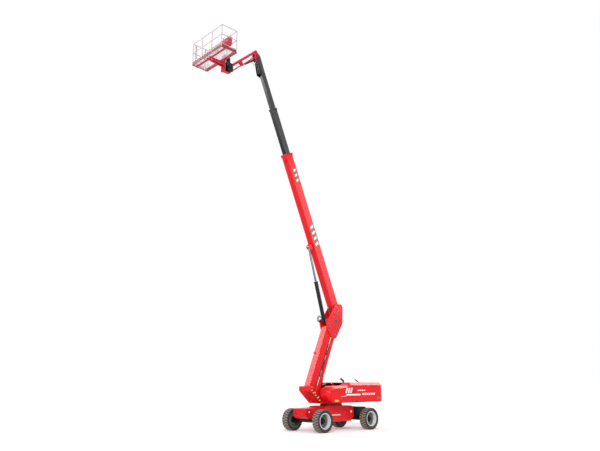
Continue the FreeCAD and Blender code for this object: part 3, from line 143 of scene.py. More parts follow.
class Finish(Graph):
    """One material: a Principled shader and the helpers that its patterns use."""

    def __init__(self, name, colour, roughness=0.5, metallic=0.0, coat=0.0, coat_roughness=0.1, gloss=0.5):
        self.material = bpy.data.materials.new(name)
        self.material.use_nodes = True
        super().__init__(self.material.node_tree)
        self.shader = self.tree.nodes["Principled BSDF"]
        self.set("Base Color", (*colour, 1.0))
        self.set("Roughness", roughness)
        self.set("Metallic", metallic)
        self.set("Coat Weight", coat)
        self.set("Coat Roughness", coat_roughness)
        self.set("Specular IOR Level", gloss)
        self.place = self.node("ShaderNodeTexCoord", {}, {}, "Object")
        self.x, self.y, self.z = (
            self.node("ShaderNodeSeparateXYZ", {}, {"Vector": self.place}, axis) for axis in "XYZ")

    def set(self, socket, value):
        self.link(value, self.shader.inputs[socket])

    def colour(self, value):
        self.set("Base Color", value)

    def rough(self, value):
        self.set("Roughness", value)

    def bump(self, height, strength, distance):
        self.set("Normal", self.node("ShaderNodeBump", {}, {
            "Strength": strength, "Distance": distance, "Height": height}))

    def noise(self, scale, detail=2.0, stretch=(1.0, 1.0, 1.0), roughness=0.5):
        """Value noise from 0 to 1 on object coordinates, stretched along an axis if asked."""
        stretched = self.node("ShaderNodeMapping", {}, {"Vector": self.place, "Scale": stretch})
        return self.node("ShaderNodeTexNoise", {}, {
            "Vector": stretched, "Scale": scale, "Detail": detail, "Roughness": roughness}, "Fac")

    def edge_wear(self, width=0.012):
        """1 along edges and corners, from how the normal turns within width."""
        rounded = self.node("ShaderNodeBevel", {"samples": 4}, {"Radius": width})
        normal = self.node("ShaderNodeNewGeometry", {}, {}, "Normal")
        dot = self.node("ShaderNodeVectorMath", {"operation": "DOT_PRODUCT"},
                        {0: rounded, 1: normal}, "Value")
        return (1.0 - dot).step(0.02, 0.16)


# ---------------------------------------------------------------- measures
SLEW_X = JOINTS["slew"]["pos_m"][0]  # the sub-parts are measured from the slew axis


def pivot(joint):
    """(x, z) of a joint's pin, from the slew axis."""
    x, _, z = JOINTS[joint]["pos_m"]
    return x - SLEW_X, z


def face_y(node):
    """How far the node reaches to the machine's left."""
    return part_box(node)[1][1]


WHEEL_X, WHEEL_R = pivot("front_left_spin")
WHEEL_Y = JOINTS["front_left_spin"]["pos_m"][1]
DISC_Y = WHEEL_Y - 0.08              # outward face of the rim's disc
HUB_END_Y = DISC_Y + 0.15
SIDES = {"left": 1, "right": -1}
HOOD_Y, CHASSIS_Y, UPRIGHT_Y = face_y("left_hood"), face_y("chassis_frame"), face_y("upright")
MID_BAND_Y = face_y("mid_boom")      # its collar reaches furthest out
PIN_END_Y = face_y("main_boom")      # its pin's end reaches furthest out
HORN_Y, END_BOX_Y = 0.42, 0.435      # the horn plates, and the box at the chassis frame's front end
MAIN_Y, MAIN_BAND_Y = 0.19, 0.212    # the main boom's side and its collar
FOOT, KNEE, ELBOW = pivot("lower_lift"), pivot("upright_level"), pivot("main_lift")
LINK_TOP, CYLINDER_FOOT = (-0.090, 4.620), (0.440, 5.360)
BOOM_ELEV = math.radians(66.5)
BOOM_WAY = (math.cos(BOOM_ELEV), math.sin(BOOM_ELEV))
LOWER_LENGTH = math.dist(FOOT, KNEE)
LOWER_WAY = ((KNEE[0] - FOOT[0]) / LOWER_LENGTH, (KNEE[1] - FOOT[1]) / LOWER_LENGTH)
MAIN_END, MID_END = 8.48, 10.92      # where these sections end, from the elbow
RING_REACH, RING_TOP = 0.65, 1.39    # room that only the slewing ring's steel is in
REAR_BOX_X = SLEW_X - 1.060          # the chassis frame's rear box starts here
PINK_FROM, PINK_TO = 15.2, 16.2      # height over which the red turns duller and pinker
MID_HALF, FLY_HALF = 0.165, 0.135    # half the depth of these two sections
FLOOR_LOW, FLOOR_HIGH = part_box("platform_floor")
STICKER = 0.0012                     # thickness of a sticker or thin plate
LIFT = 0.0004                        # how far a sticker stands off what it is on


def point_along(start, way, s, n):
    """(x, z) of the point s from start along a boom and n square to it, towards the machine's front."""
    return start[0] + s * way[0] + n * way[1], start[1] + s * way[1] - n * way[0]


def boom_point(s, n):
    """(x, z) of the point s along the telescopic boom and n towards its under side."""
    return point_along(ELBOW, BOOM_WAY, s, n)


def lower_point(s, n):
    """(x, z) of the point s along the lower boom and n towards its front."""
    return point_along(FOOT, LOWER_WAY, s, n)


# ---------------------------------------------------------------- mesh helpers
def add_object(name, data):
    """New object in the scene, at the origin."""
    obj = bpy.data.objects.new(name, data)
    bpy.context.scene.collection.objects.link(obj)
    return obj


def finish_piece(obj, body, look):
    """Gives a new piece the material of its look, and the body that it rides on."""
    finish, slot = look
    obj.data.materials.clear()
    obj.data.materials.append(finish)
    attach(obj, body)
    return obj


def prism_into(bm, outline, way):
    """Adds to bm the solid swept from a closed outline of 3D points along way."""
    low = [bm.verts.new(p) for p in outline]
    high = [bm.verts.new(Vector(p) + way) for p in outline]
    count = len(outline)
    for i in range(count):
        j = (i + 1) % count
        bm.faces.new((low[i], low[j], high[j], high[i]))
    bm.faces.new(low[::-1])
    bm.faces.new(high)


def closed_mesh(name, bm):
    """Plain mesh of a finished bmesh, with its faces turned outwards."""
    bmesh.ops.recalc_face_normals(bm, faces=bm.faces)
    mesh = bpy.data.meshes.new(name)
    bm.to_mesh(mesh)
    bm.free()
    return mesh


def evaluated_mesh(obj):
    """What a curve or an object with a modifier comes to, as a plain mesh."""
    bpy.context.view_layer.update()
    return bpy.data.meshes.new_from_object(obj.evaluated_get(bpy.context.evaluated_depsgraph_get()))


def side_plates(name, outlines, y, side, body, look, thickness=STICKER, lift=LIFT):
    """Flat plates on a face square to y, from outlines of (x, z) measured from the slew axis."""
    bm = bmesh.new()
    y0 = side * (y + lift)
    for outline in outlines:
        prism_into(bm, [(SLEW_X + x, y0, z) for x, z in outline], Vector((0, side * thickness, 0)))
    return finish_piece(add_object(name, closed_mesh(name, bm)), body, look)


def disc_outline(x, z, r, count=24):
    """Round outline about (x, z)."""
    turn = 2 * math.pi / count
    return [(x + r * math.cos(i * turn), z + r * math.sin(i * turn)) for i in range(count)]


def slanted(x0, x1, z0, z1, lean):
    """Parallelogram from x0 to x1 at its foot, whose top leans forward by lean."""
    return [(x0, z0), (x1, z0), (x1 + lean, z1), (x0 + lean, z1)]


def scatter_tree(name, unit, base, finish):
    """Geometry Nodes that set the unit object on each spot, turned, and join the base object to them."""
    group = bpy.data.node_groups.new(name, "GeometryNodeTree")
    for way in ("INPUT", "OUTPUT"):
        group.interface.new_socket("Geometry", in_out=way, socket_type="NodeSocketGeometry")
    graph = Graph(group)
    spots = graph.node("NodeGroupInput", {}, {})
    turn = graph.node("GeometryNodeInputNamedAttribute", {"data_type": "FLOAT_VECTOR"}, {"Name": "turn"},
                      "Attribute")
    rotation = graph.node("FunctionNodeEulerToRotation", {}, {0: turn})
    piece = graph.node("GeometryNodeObjectInfo", {}, {"Object": unit}, "Geometry")
    placed = graph.node("GeometryNodeInstanceOnPoints", {}, {
        "Points": spots, "Instance": piece, "Rotation": rotation})
    joined = graph.node("GeometryNodeJoinGeometry", {}, {0: placed})
    if base:
        whole = graph.node("GeometryNodeObjectInfo", {}, {"Object": base}, "Geometry")
        graph.link(whole, joined.socket.node.inputs[0])
    real = graph.node("GeometryNodeRealizeInstances", {}, {0: joined})
    painted = graph.node("GeometryNodeSetMaterial", {}, {"Geometry": real, "Material": finish})
    graph.link(painted, group.nodes.new("NodeGroupOutput").inputs[0])
    return group


def scattered(name, unit, places, body, look, base=None, moved=Matrix()):
    """A unit mesh set at many (point, euler) places by Geometry Nodes, joined to a base mesh."""
    spots = bpy.data.meshes.new(name + "_spots")
    spots.from_pydata([point for point, _ in places], [], [])
    turns = spots.attributes.new("turn", "FLOAT_VECTOR", "POINT")
    for item, (_, turn) in zip(turns.data, places):
        item.vector = turn
    obj = add_object(name, spots)
    helpers = [add_object(name + "_unit", unit)]
    if base:
        helpers.append(add_object(name + "_base", base))
    finish, _ = look
    group = scatter_tree(name, helpers[0], helpers[1] if base else None, finish)
    obj.modifiers.new("scatter", "NODES").node_group = group
    made = evaluated_mesh(obj)
    made.name = name
    made.transform(moved)
    obj.modifiers.clear()
    obj.data = made
    for helper in helpers:
        bpy.data.objects.remove(helper)
    return finish_piece(obj, body, look)


WASHER_SHARE = 1.45                  # a washer's width, as a share of its bolt head's


def bolt_head(across, height):
    """Hexagon head on a round washer; it stands on z = 0 and points along z."""
    washer = (20, across * WASHER_SHARE / 2, 0.0, height * 0.22)
    head = (6, across / math.sqrt(3), height * 0.20, height)
    bm = bmesh.new()
    for sides, radius, low, high in (washer, head):
        outline = [(a, b, low) for a, b in disc_outline(0.0, 0.0, radius, sides)]
        prism_into(bm, outline, Vector((0, 0, high - low)))
    return closed_mesh("bolt_head", bm)


def facing(side):
    """Euler that tips z onto the left (1) or the right (-1)."""
    return (-side * math.pi / 2, 0.0, 0.0)


def ring_places(centre, radius, count, tip=0.0):
    """Places on a circle about z, or about the axis that z comes to when tipped that far about x."""
    places = []
    for i in range(count):
        spin = Matrix.Rotation(tip, 4, "X") @ Matrix.Rotation(2 * math.pi * i / count, 4, "Z")
        places.append((Vector(centre) + spin @ Vector((radius, 0, 0)), spin.to_euler()))
    return places


# ---------------------------------------------------------------- tyres
TREAD_FLOOR = 0.500
LUGS = 26
ROUNDS = 72                          # facets round the tyre
# (y, radius) from the crown's middle over the shoulder and the side wall to the bead
HALF_SECTION = (
    (0.0, TREAD_FLOOR), (0.120, TREAD_FLOOR - 0.001), (0.172, TREAD_FLOOR - 0.006), (0.190, 0.484),
    (0.198, 0.466), (0.2005, 0.452), (0.2035, 0.450), (0.2035, 0.443), (0.2005, 0.441), (0.1995, 0.420),
    (0.193, 0.398), (0.184, 0.384), (0.176, 0.374), (0.1675, 0.367), (0.1648, 0.3665), (0.1648, 0.3453),
)
# across the tyre, how far the bar trails there, its outer radius and half its width
LUG_STATIONS = (
    (-0.012, 0.000, 0.5300, 0.034), (0.060, -0.004, 0.5295, 0.038), (0.125, -0.016, 0.5270, 0.042),
    (0.176, -0.030, 0.5225, 0.044), (0.197, -0.036, 0.5040, 0.043), (0.2045, -0.038, 0.4640, 0.032),
)
SHOULDER = 0.19                      # past this a bar's root is in the side wall


def tyre_carcass():
    """Tyre body about the z axis: bead, bulged side walls with a rib, and the tread's floor."""
    section = list(HALF_SECTION) + [(-y, r) for y, r in reversed(HALF_SECTION[1:])]
    bm = bmesh.new()
    rings = []
    for i in range(ROUNDS):
        angle = 2 * math.pi * i / ROUNDS
        c, k = math.cos(angle), math.sin(angle)
        rings.append([bm.verts.new((r * c, r * k, y)) for y, r in section])
    for i in range(ROUNDS):
        a, b = rings[i], rings[(i + 1) % ROUNDS]
        for j in range(len(section)):
            m = (j + 1) % len(section)
            bm.faces.new((a[j], b[j], b[m], a[m]))
    mesh = closed_mesh("carcass", bm)
    mesh.shade_smooth()
    return mesh


def tread_lugs():
    """A bar of the tread on each half, radial along x: from the crown's middle over the shoulder."""
    bm = bmesh.new()
    for side in (1, -1):
        back = Matrix.Rotation(math.pi / LUGS if side < 0 else 0.0, 4, "Z")
        loops = []
        for across, trail, r, w in LUG_STATIONS:
            root, inward = (r - 0.018, 0.014) if across > SHOULDER else (TREAD_FLOOR - 0.012, 0.0)
            top, foot = across, across - inward
            corners = [(r, trail - w * 0.8, top), (r, trail + w * 0.8, top), (root, trail + w, foot),
                       (root, trail - w, foot)]
            loops.append([bm.verts.new(back @ Vector((x, y, side * z))) for x, y, z in corners])
        for a, b in zip(loops, loops[1:]):
            for j in range(4):
                m = (j + 1) % 4
                bm.faces.new((a[j], a[m], b[m], b[j]))
        bm.faces.new(loops[0][::-1])
        bm.faces.new(loops[-1])
    bmesh.ops.recalc_face_normals(bm, faces=bm.faces)
    sharp = [edge for edge in bm.edges if edge.calc_face_angle(0.0) > 0.9]
    bmesh.ops.bevel(bm, geom=sharp, offset=0.003, segments=1, affect="EDGES")
    return closed_mesh("lugs", bm)


def fit_tyre(wheel, x, side):
    """Tyre with its tread, in place of the plain ring."""
    centre = Matrix.Translation((SLEW_X + x, side * WHEEL_Y, WHEEL_R))
    moved = centre @ Matrix.Rotation(facing(side)[0], 4, "X")
    spots = [((0, 0, 0), (0, 0, 2 * math.pi * i / LUGS)) for i in range(LUGS)]
    made = scattered(wheel + "_treaded_tyre", tread_lugs(), spots, wheel + "_wheel", TYRE, tyre_carcass(),
                     moved)
    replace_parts(made, wheel + "_tyre")


# ---------------------------------------------------------------- finishes
RED, RED_DEEP = (0.80, 0.006, 0.012), (0.62, 0.004, 0.009)
CHASSIS_RED, CHASSIS_DEEP = (0.72, 0.005, 0.010), (0.55, 0.004, 0.008)
JIB_RED = (0.62, 0.020, 0.055)
RING_RED = (0.28, 0.006, 0.010)      # the slewing ring's paint
SLIDE_GREY, SLIDE_DEEP = (0.056, 0.056, 0.058), (0.038, 0.038, 0.040)
# painted shade: black for the under sides of the telescoping sections
UNDERSIDE_SHADE_BLACK = (0.003, 0.003, 0.003)
BLACK, BLACK_DEEP = (0.009, 0.009, 0.010), (0.005, 0.005, 0.006)
# painted shade: black for the chassis frame's rear box, which lies in shadow
REAR_SHADE_BLACK = (0.010, 0.010, 0.011)
PRIMER, WORN_BLACK = (0.10, 0.095, 0.09), (0.09, 0.085, 0.08)
SOOT = (0.012, 0.012, 0.013)
DUST = (0.30, 0.26, 0.21)
GREASE = (0.045, 0.032, 0.020)
WHITE = (0.86, 0.86, 0.85)
YELLOW = (0.95, 0.42, 0.02)


class Enamel(Finish):
    """Sprayed machine enamel: slight orange peel, cloudy tone, chips on edges, road dust low down."""

    def __init__(self, name, colour, deep, coat, chip=SOOT, dust_top=0.0):
        super().__init__(name, colour, 0.32, 0.0, coat, 0.12, 0.12)
        self.chip = chip
        self.chips = self.edge_wear() * self.noise(55.0, 4.0).step(0.58, 0.68)
        cloud = self.noise(1.3, 3.0)
        streaks = self.noise(7.0, 3.0, (6.0, 6.0, 0.35)).step(0.55, 0.85)
        self.tone = self.mix(cloud.step(0.3, 0.7) * 0.3 + streaks * 0.12, colour, deep)
        rough = 0.28 + 0.12 * cloud + 0.2 * self.chips + 0.05 * streaks
        if dust_top:
            dust = self.z.step(dust_top, 0.0) * self.noise(9.0, 4.0).step(0.3, 0.8)
            self.tone = self.mix(dust * 0.4, self.tone, DUST)
            rough = rough + 0.35 * dust
        self.colour(self.chipped(self.tone))
        self.rough(rough)
        self.bump(self.noise(210.0, 2.0) * 0.4 + self.chips * -0.6, 0.12, 0.002)

    def chipped(self, paint):
        return self.mix(self.chips, paint, self.chip)


def boom_enamel():
    """The machine's red, which turns duller and pinker high up, on the jib and the platform's frame."""
    paint = Enamel("red_enamel", RED, RED_DEEP, 0.14)
    # the red turns duller and pinker high up, on the jib and the platform
    pinker_above = paint.z.step(PINK_FROM, PINK_TO)
    paint.colour(paint.chipped(paint.mix(pinker_above, paint.tone, JIB_RED)))
    return paint


def slide_enamel():
    """The telescoping sections: dark grey, with painted shade: their under sides are painted black."""
    paint = Enamel("boom_dark_grey", SLIDE_GREY, SLIDE_DEEP, 0.2, PRIMER)
    over, up = paint.x - (SLEW_X + ELBOW[0]), paint.z - ELBOW[1]
    below = over * BOOM_WAY[1] - up * BOOM_WAY[0]
    out = over * BOOM_WAY[0] + up * BOOM_WAY[1]
    fly = out.step(MID_END + 0.010, MID_END + 0.012)
    # painted shade: the under side of each section is painted black
    under = (below > MID_HALF - 0.004) + (below > FLY_HALF - 0.004) * fly
    paint.colour(paint.mix(under.clamp(), paint.chipped(paint.tone), UNDERSIDE_SHADE_BLACK))
    return paint


def chassis_enamel():
    """The red chassis, with painted shade: its rear box, which lies in shadow, is painted black."""
    paint = Enamel("chassis_enamel", CHASSIS_RED, CHASSIS_DEEP, 0.1, SOOT, 1.0)
    # painted shade: the rear box is painted black where it lies in shadow
    rear = paint.x.step(REAR_BOX_X + 0.005, REAR_BOX_X - 0.005)
    paint.colour(paint.chipped(paint.mix(rear, paint.tone, REAR_SHADE_BLACK)))
    return paint


def axle_radius(finish):
    """Distance from the nearest wheel's axle line, for any of the four wheels."""
    along = abs(abs(finish.x - SLEW_X) - WHEEL_X)
    up = finish.z - WHEEL_R
    return (along ** 2.0 + abs(up) ** 2.0) ** 0.5


def tyre_finish():
    """Dark side walls with faint rings; the tread's bars are scuffed pale and dusty."""
    rubber = Finish("tyre_tread", (0.02, 0.019, 0.018), 0.85)
    radius = axle_radius(rubber)
    scuff = radius.step(0.504, 0.526)
    mottle = rubber.noise(38.0, 5.0, roughness=0.65)
    dusty = rubber.noise(6.0, 4.0).step(0.25, 0.8)
    wall = rubber.mix(dusty * 0.35, (0.014, 0.014, 0.014), (0.055, 0.050, 0.045))
    bar = rubber.mix(mottle.step(0.25, 0.75), (0.185, 0.150, 0.130), (0.300, 0.245, 0.215))
    rubber.colour(rubber.mix(scuff, wall, bar))
    rubber.rough(0.72 + 0.2 * mottle)
    rings = (radius * 310.0 % 1.0).step(0.35, 0.5) * radius.step(0.386, 0.39) * radius.step(0.436, 0.43)
    rubber.bump(rubber.noise(140.0, 3.0) * 0.5 + rings * 0.25, 0.35, 0.003)
    return rubber


def rim_finish():
    """Silver wheel paint, with painted shade darkening it in the well towards the disc and on its inner side,
    and a black hub.
    """
    paint = Finish("rim_silver", (0.72, 0.72, 0.73), 0.38, 0.0, 0.0, 0.2, 0.14)
    radius = axle_radius(paint)
    hub = radius.step(0.165, 0.158)
    # painted shade: darker on the rim's inner side and in the well towards the disc
    inner_side_shade = abs(paint.y).step(WHEEL_Y + 0.01, WHEEL_Y - 0.03)
    well_shade = radius.step(0.315, 0.285) * (0.8 + 0.2 * paint.noise(11.0, 4.0))
    recess_shade = (well_shade + inner_side_shade * 0.9).clamp()
    silver = paint.mix(recess_shade, (0.74, 0.74, 0.75), (0.10, 0.10, 0.10))
    chips = paint.edge_wear(0.006) * paint.noise(70.0, 4.0).step(0.5, 0.62)
    worn = paint.mix(chips * 0.7, silver, PRIMER)
    paint.colour(paint.mix(hub, worn, (0.006, 0.006, 0.007)))
    paint.rough(0.34 + 0.2 * paint.noise(30.0, 3.0) + 0.1 * hub)
    paint.bump(paint.noise(160.0, 2.0), 0.08, 0.002)
    return paint


def chrome_finish():
    """Black chrome on the rods, with a streaky film of oil."""
    rod = Finish("black_chrome", (0.10, 0.10, 0.11), 0.12, 1.0)
    film = rod.noise(14.0, 3.0, (1.0, 1.0, 0.2))
    rod.colour(rod.mix(film.step(0.45, 0.8) * 0.6, (0.11, 0.11, 0.12), (0.050, 0.047, 0.042)))
    rod.rough(0.12 + 0.14 * film)
    return rod


def steel_finish():
    """Bare steel of pins and bolts; the slewing ring, near its axis and low down, is painted."""
    steel = Finish("machined_steel", (0.46, 0.45, 0.44), 0.42, 1.0)
    mottle = steel.noise(24.0, 5.0)
    greasy = steel.noise(5.0, 3.0).step(0.5, 0.75)
    across = ((steel.x - SLEW_X) ** 2.0 + abs(steel.y) ** 2.0) ** 0.5
    ring = across.step(RING_REACH + 0.01, RING_REACH - 0.01) * steel.z.step(RING_TOP + 0.01, RING_TOP - 0.01)
    steel.colour(steel.mix(ring, steel.mix(greasy * 0.7, (0.48, 0.47, 0.46), GREASE), RING_RED))
    steel.set("Metallic", 1.0 - ring)
    steel.rough(0.32 + 0.3 * mottle + 0.2 * ring)
    steel.bump(steel.noise(180.0, 3.0), 0.15, 0.001)
    return steel


def iron_finish():
    """Rough cast iron of the engine, with sooty and rusty patches."""
    iron = Finish("engine_casting", (0.06, 0.062, 0.065), 0.62, 0.4)
    iron.colour(iron.mix(iron.noise(7.0, 5.0).step(0.35, 0.75), (0.035, 0.036, 0.038), (0.105, 0.095, 0.085)))
    iron.rough(0.5 + 0.3 * iron.noise(25.0, 3.0))
    iron.bump(iron.noise(120.0, 4.0), 0.5, 0.003)
    return iron


def floor_finish():
    """Platform floor and toe boards: red border, pale bars between."""
    paint = Finish("floor_paint", (0.3, 0.01, 0.02), 0.45, 0.0, 0.1)
    middle, half = (FLOOR_LOW[0] + FLOOR_HIGH[0]) / 2, (FLOOR_HIGH[0] - FLOOR_LOW[0]) / 2
    ends = abs(paint.x - middle).step(half - 0.040, half - 0.030)
    edge = (ends + abs(paint.y).step(FLOOR_HIGH[1] - 0.040, FLOOR_HIGH[1] - 0.030)).clamp()
    tone = paint.noise(9.0, 4.0)
    border = paint.mix(tone, (0.34, 0.004, 0.020), (0.22, 0.003, 0.014))
    bars = paint.mix(tone, (0.80, 0.79, 0.79), (0.68, 0.66, 0.66))
    paint.colour(paint.mix(edge, bars, border))
    paint.rough(0.4 + 0.25 * tone)
    return paint


def rail_finish():
    """Pale rails, rubbed darker where hands hold them."""
    paint = Finish("rail_grey", (0.52, 0.43, 0.46), 0.38, 0.0, 0.2)
    rub = paint.noise(30.0, 4.0).step(0.45, 0.7)
    paint.colour(paint.mix(rub, (0.54, 0.44, 0.48), (0.42, 0.34, 0.37)))
    paint.rough(0.32 + 0.2 * rub)
    return paint


def plain_finish(name, colour, other, scale, roughness, spread, coat=0.0, bump=0.0):
    """A finish of two close tones in noise, with a roughness that follows them."""
    made = Finish(name, colour, roughness, 0.0, coat)
    tone = made.noise(scale, 4.0)
    made.colour(made.mix(tone.step(0.3, 0.7), colour, other))
    made.rough(roughness + spread * tone)
    if bump:
        made.bump(made.noise(150.0, 3.0), bump, 0.002)
    return made


def hazard_finish():
    """Sticker with slanted yellow stripes on black, scuffed in places."""
    made = Finish("hazard_stripes", YELLOW, 0.42, 0.0, 0.15)
    pitch, share, lean = 0.150, 0.42, 0.25
    place = (made.x * lean + made.z) / pitch % 1.0
    worn = made.noise(80.0, 4.0).step(0.62, 0.74) * 0.5
    stripes = made.mix(place.step(share + 0.01, share - 0.01), (0.014, 0.013, 0.013), YELLOW)
    made.colour(made.mix(worn, stripes, DUST))
    made.rough(0.38 + 0.2 * made.noise(40.0, 2.0))
    return made


# one finish for each of the record's material slots
FINISHES = {
    "red_paint": boom_enamel(),
    "chassis_paint": chassis_enamel(),
    "boom_grey": slide_enamel(),
    "black_paint": Enamel("black_enamel", BLACK, BLACK_DEEP, 0.15, WORN_BLACK),
    "tyre_rubber": tyre_finish(),
    "rim_paint": rim_finish(),
    "rod_chrome": chrome_finish(),
    "floor_metal": floor_finish(),
    "bare_steel": steel_finish(),
    "engine_iron": iron_finish(),
    "rail_paint": rail_finish(),
    "console_plastic": plain_finish(
        "console_red", (0.62, 0.02, 0.05), (0.50, 0.015, 0.04), 6.0, 0.4, 0.15, 0.2, 0.1),
    "amber_lens": plain_finish("amber_lens", (0.95, 0.50, 0.02), (0.90, 0.42, 0.01), 12.0, 0.16, 0.08, 0.5),
    "hose_rubber": plain_finish(
        "hose_rubber", (0.012, 0.012, 0.012), (0.03, 0.028, 0.026), 30.0, 0.5, 0.25, 0.0, 0.3),
    "control_black": plain_finish(
        "control_black", (0.014, 0.014, 0.015), (0.028, 0.028, 0.028), 25.0, 0.45, 0.2, 0.0, 0.2),
}
# each look: the material of a new piece, and the record's slot that it stands for
STEEL, BLACK_PAINT, TYRE, HOSE, FLOOR = (
    (FINISHES[slot].material, slot)
    for slot in ("bare_steel", "black_paint", "tyre_rubber", "hose_rubber", "floor_metal"))


def sticker(finish, slot="control_black"):
    """The look of a sticker or bare plate."""
    return finish.material, slot


BLACK_STICKER = plain_finish(
    "sticker_black", (0.012, 0.012, 0.013), (0.024, 0.023, 0.022), 18.0, 0.35, 0.15, 0.2)
# the black of the pin caps, also used for discs painted as the shade inside holes
BLACK_S, CAP_AND_HOLE_SHADE = sticker(BLACK_STICKER), sticker(BLACK_STICKER, "black_paint")
WHITE_S = sticker(plain_finish("sticker_white", WHITE, (0.78, 0.78, 0.76), 18.0, 0.35, 0.15, 0.2))
PLATE = sticker(plain_finish("data_plate", (0.22, 0.10, 0.05), (0.30, 0.15, 0.07), 20.0, 0.4, 0.2))
HAZARD = sticker(hazard_finish())

# each CAD node gets the finish of the slot that its own material is named after
for node in frame["nodes"].values():
    for held in node.material_slots:
        if held.material:
            held.material = FINISHES[held.material.name.split(".")[0]].material

# ---------------------------------------------------------------- what each wheel carries
NUT = bolt_head(0.036, 0.026)
SMALL_BOLT = bolt_head(0.019, 0.012)
BIG_BOLT = bolt_head(0.030, 0.019)
NUT_CIRCLE, HUB_CIRCLE = 0.200, 0.068

for ends, x in (("front", WHEEL_X), ("rear", -WHEEL_X)):
    for side_name, side in SIDES.items():
        wheel = f"{ends}_{side_name}"
        fit_tyre(wheel, x, side)
        disc = (SLEW_X + x, side * (DISC_Y + LIFT), WHEEL_R)
        hub = (SLEW_X + x, side * (HUB_END_Y + LIFT), WHEEL_R)
        nuts = ring_places(disc, NUT_CIRCLE, 10, facing(side)[0])
        hub_bolts = ring_places(hub, HUB_CIRCLE, 8, facing(side)[0])
        scattered(wheel + "_nuts", NUT, nuts, wheel + "_wheel", STEEL)
        scattered(wheel + "_hub_bolts", SMALL_BOLT, hub_bolts, wheel + "_wheel", BLACK_PAINT)

# ---------------------------------------------------------------- bolts and keepers
SLEW_FLANGE_Z, SLEW_BOLT_R = 1.22, 0.535
SLEW_BOLTS = ring_places((SLEW_X, 0, SLEW_FLANGE_Z + LIFT), SLEW_BOLT_R, 40)
scattered("slew_bolts", BIG_BOLT, SLEW_BOLTS, "chassis", STEEL)


def collar_places(stations, offsets, y):
    """Places of bolts on both sides of the telescopic boom."""
    places = []
    for side in SIDES.values():
        for s in stations:
            for n in offsets:
                x, z = boom_point(s, n)
                places.append(((SLEW_X + x, side * (y + LIFT), z), facing(side)))
    return places


MAIN_COLLAR = collar_places((MAIN_END - 0.075, MAIN_END - 0.020), (-0.16, 0.0, 0.16), MAIN_BAND_Y)
MID_COLLAR = collar_places((MID_END - 0.045,), (-0.11, 0.0, 0.11), MID_BAND_Y)
scattered("main_collar_bolts", BIG_BOLT, MAIN_COLLAR, "main_boom", BLACK_PAINT)
scattered("mid_collar_bolts", BIG_BOLT, MID_COLLAR, "mid_boom", BLACK_PAINT)

# name: body, pin's centre, its radius, the plate's face, way the keeper lies from the pin in degrees
KEEPERS = {
    "lower_boom_foot": ("turntable", FOOT, 0.055, HORN_Y, 200.0),
    "knee": ("upright", KNEE, 0.055, UPRIGHT_Y, 60.0),
    "elbow": ("upright", ELBOW, 0.055, UPRIGHT_Y, 215.0),
    "link_top": ("upright", LINK_TOP, 0.042, UPRIGHT_Y, 70.0),
    "main_cylinder_foot": ("upright", CYLINDER_FOOT, 0.045, UPRIGHT_Y, 215.0),
}
KEEPER_GAP, KEEPER_W, KEEPER_HALF, KEEPER_T = 0.008, 0.034, 0.055, 0.008
KEEPER_SCREW = 0.036                 # each screw, from the bar's middle


def keeper(name, body, centre, pin_r, y, way):
    """Bar beside a pin's end with its two screws, on the outer face of both plates."""
    turn = math.radians(way)
    out, across = (math.cos(turn), math.sin(turn)), (-math.sin(turn), math.cos(turn))

    def at(a, b):
        return centre[0] + a * out[0] + b * across[0], centre[1] + a * out[1] + b * across[1]

    near = pin_r + KEEPER_GAP
    far = near + KEEPER_W
    bar = [at(near, -KEEPER_HALF), at(far, -KEEPER_HALF), at(far, KEEPER_HALF), at(near, KEEPER_HALF)]
    for side_name, side in SIDES.items():
        side_plates(f"{name}_keeper_{side_name}", [bar], y, side, body, BLACK_PAINT, KEEPER_T)
        places = []
        for b in (-KEEPER_SCREW, KEEPER_SCREW):
            x, z = at(near + KEEPER_W / 2, b)
            places.append(((SLEW_X + x, side * (y + KEEPER_T + 2 * LIFT), z), facing(side)))
        scattered(f"{name}_keeper_screws_{side_name}", SMALL_BOLT, places, body, STEEL)


for name, values in KEEPERS.items():
    keeper(name, *values)

# name: body it turns with, centre, radius, the face that it sits on
CAPS = {
    "knee_pin": ("lower_boom", KNEE, 0.050, PIN_END_Y),
    "elbow_pin": ("main_boom", ELBOW, 0.050, PIN_END_Y),
    "link_top_pin": ("level_link", LINK_TOP, 0.038, PIN_END_Y),
    "main_cylinder_pin": ("upright", CYLINDER_FOOT, 0.041, PIN_END_Y),
    # painted shade: these three black discs on the upright's plates stand for the shade inside holes
    "upright_plug_big": ("upright", (-0.210, 5.360), 0.112, UPRIGHT_Y),
    "upright_plug_high": ("upright", (-0.250, 5.700), 0.068, UPRIGHT_Y),
    "upright_plug_low": ("upright", (-0.290, 5.010), 0.068, UPRIGHT_Y),
}
for name, (body, (x, z), radius, y) in CAPS.items():
    for side_name, side in SIDES.items():
        side_plates(f"{name}_cap_{side_name}", [disc_outline(x, z, radius, 32)], y, side, body, CAP_AND_HOLE_SHADE, 0.003)

# ---------------------------------------------------------------- hoses at the upright
HOSE_R = 0.018
HOSE_ENDS = ((0.505, 5.305), (0.270, 5.440))
# y of the loop, and its points in x and z
HOSE_LOOPS = (
    (-0.302, ((0.520, 5.310), (0.600, 5.360), (0.625, 5.490), (0.565, 5.620), (0.430, 5.640), (0.330, 5.540),
              (0.280, 5.455))),
    (-0.268, ((0.515, 5.320), (0.565, 5.370), (0.585, 5.480), (0.535, 5.585), (0.430, 5.600), (0.345, 5.520),
              (0.285, 5.450))),
)
COLLAR_R, COLLAR_T = HOSE_R + 0.014, 0.024


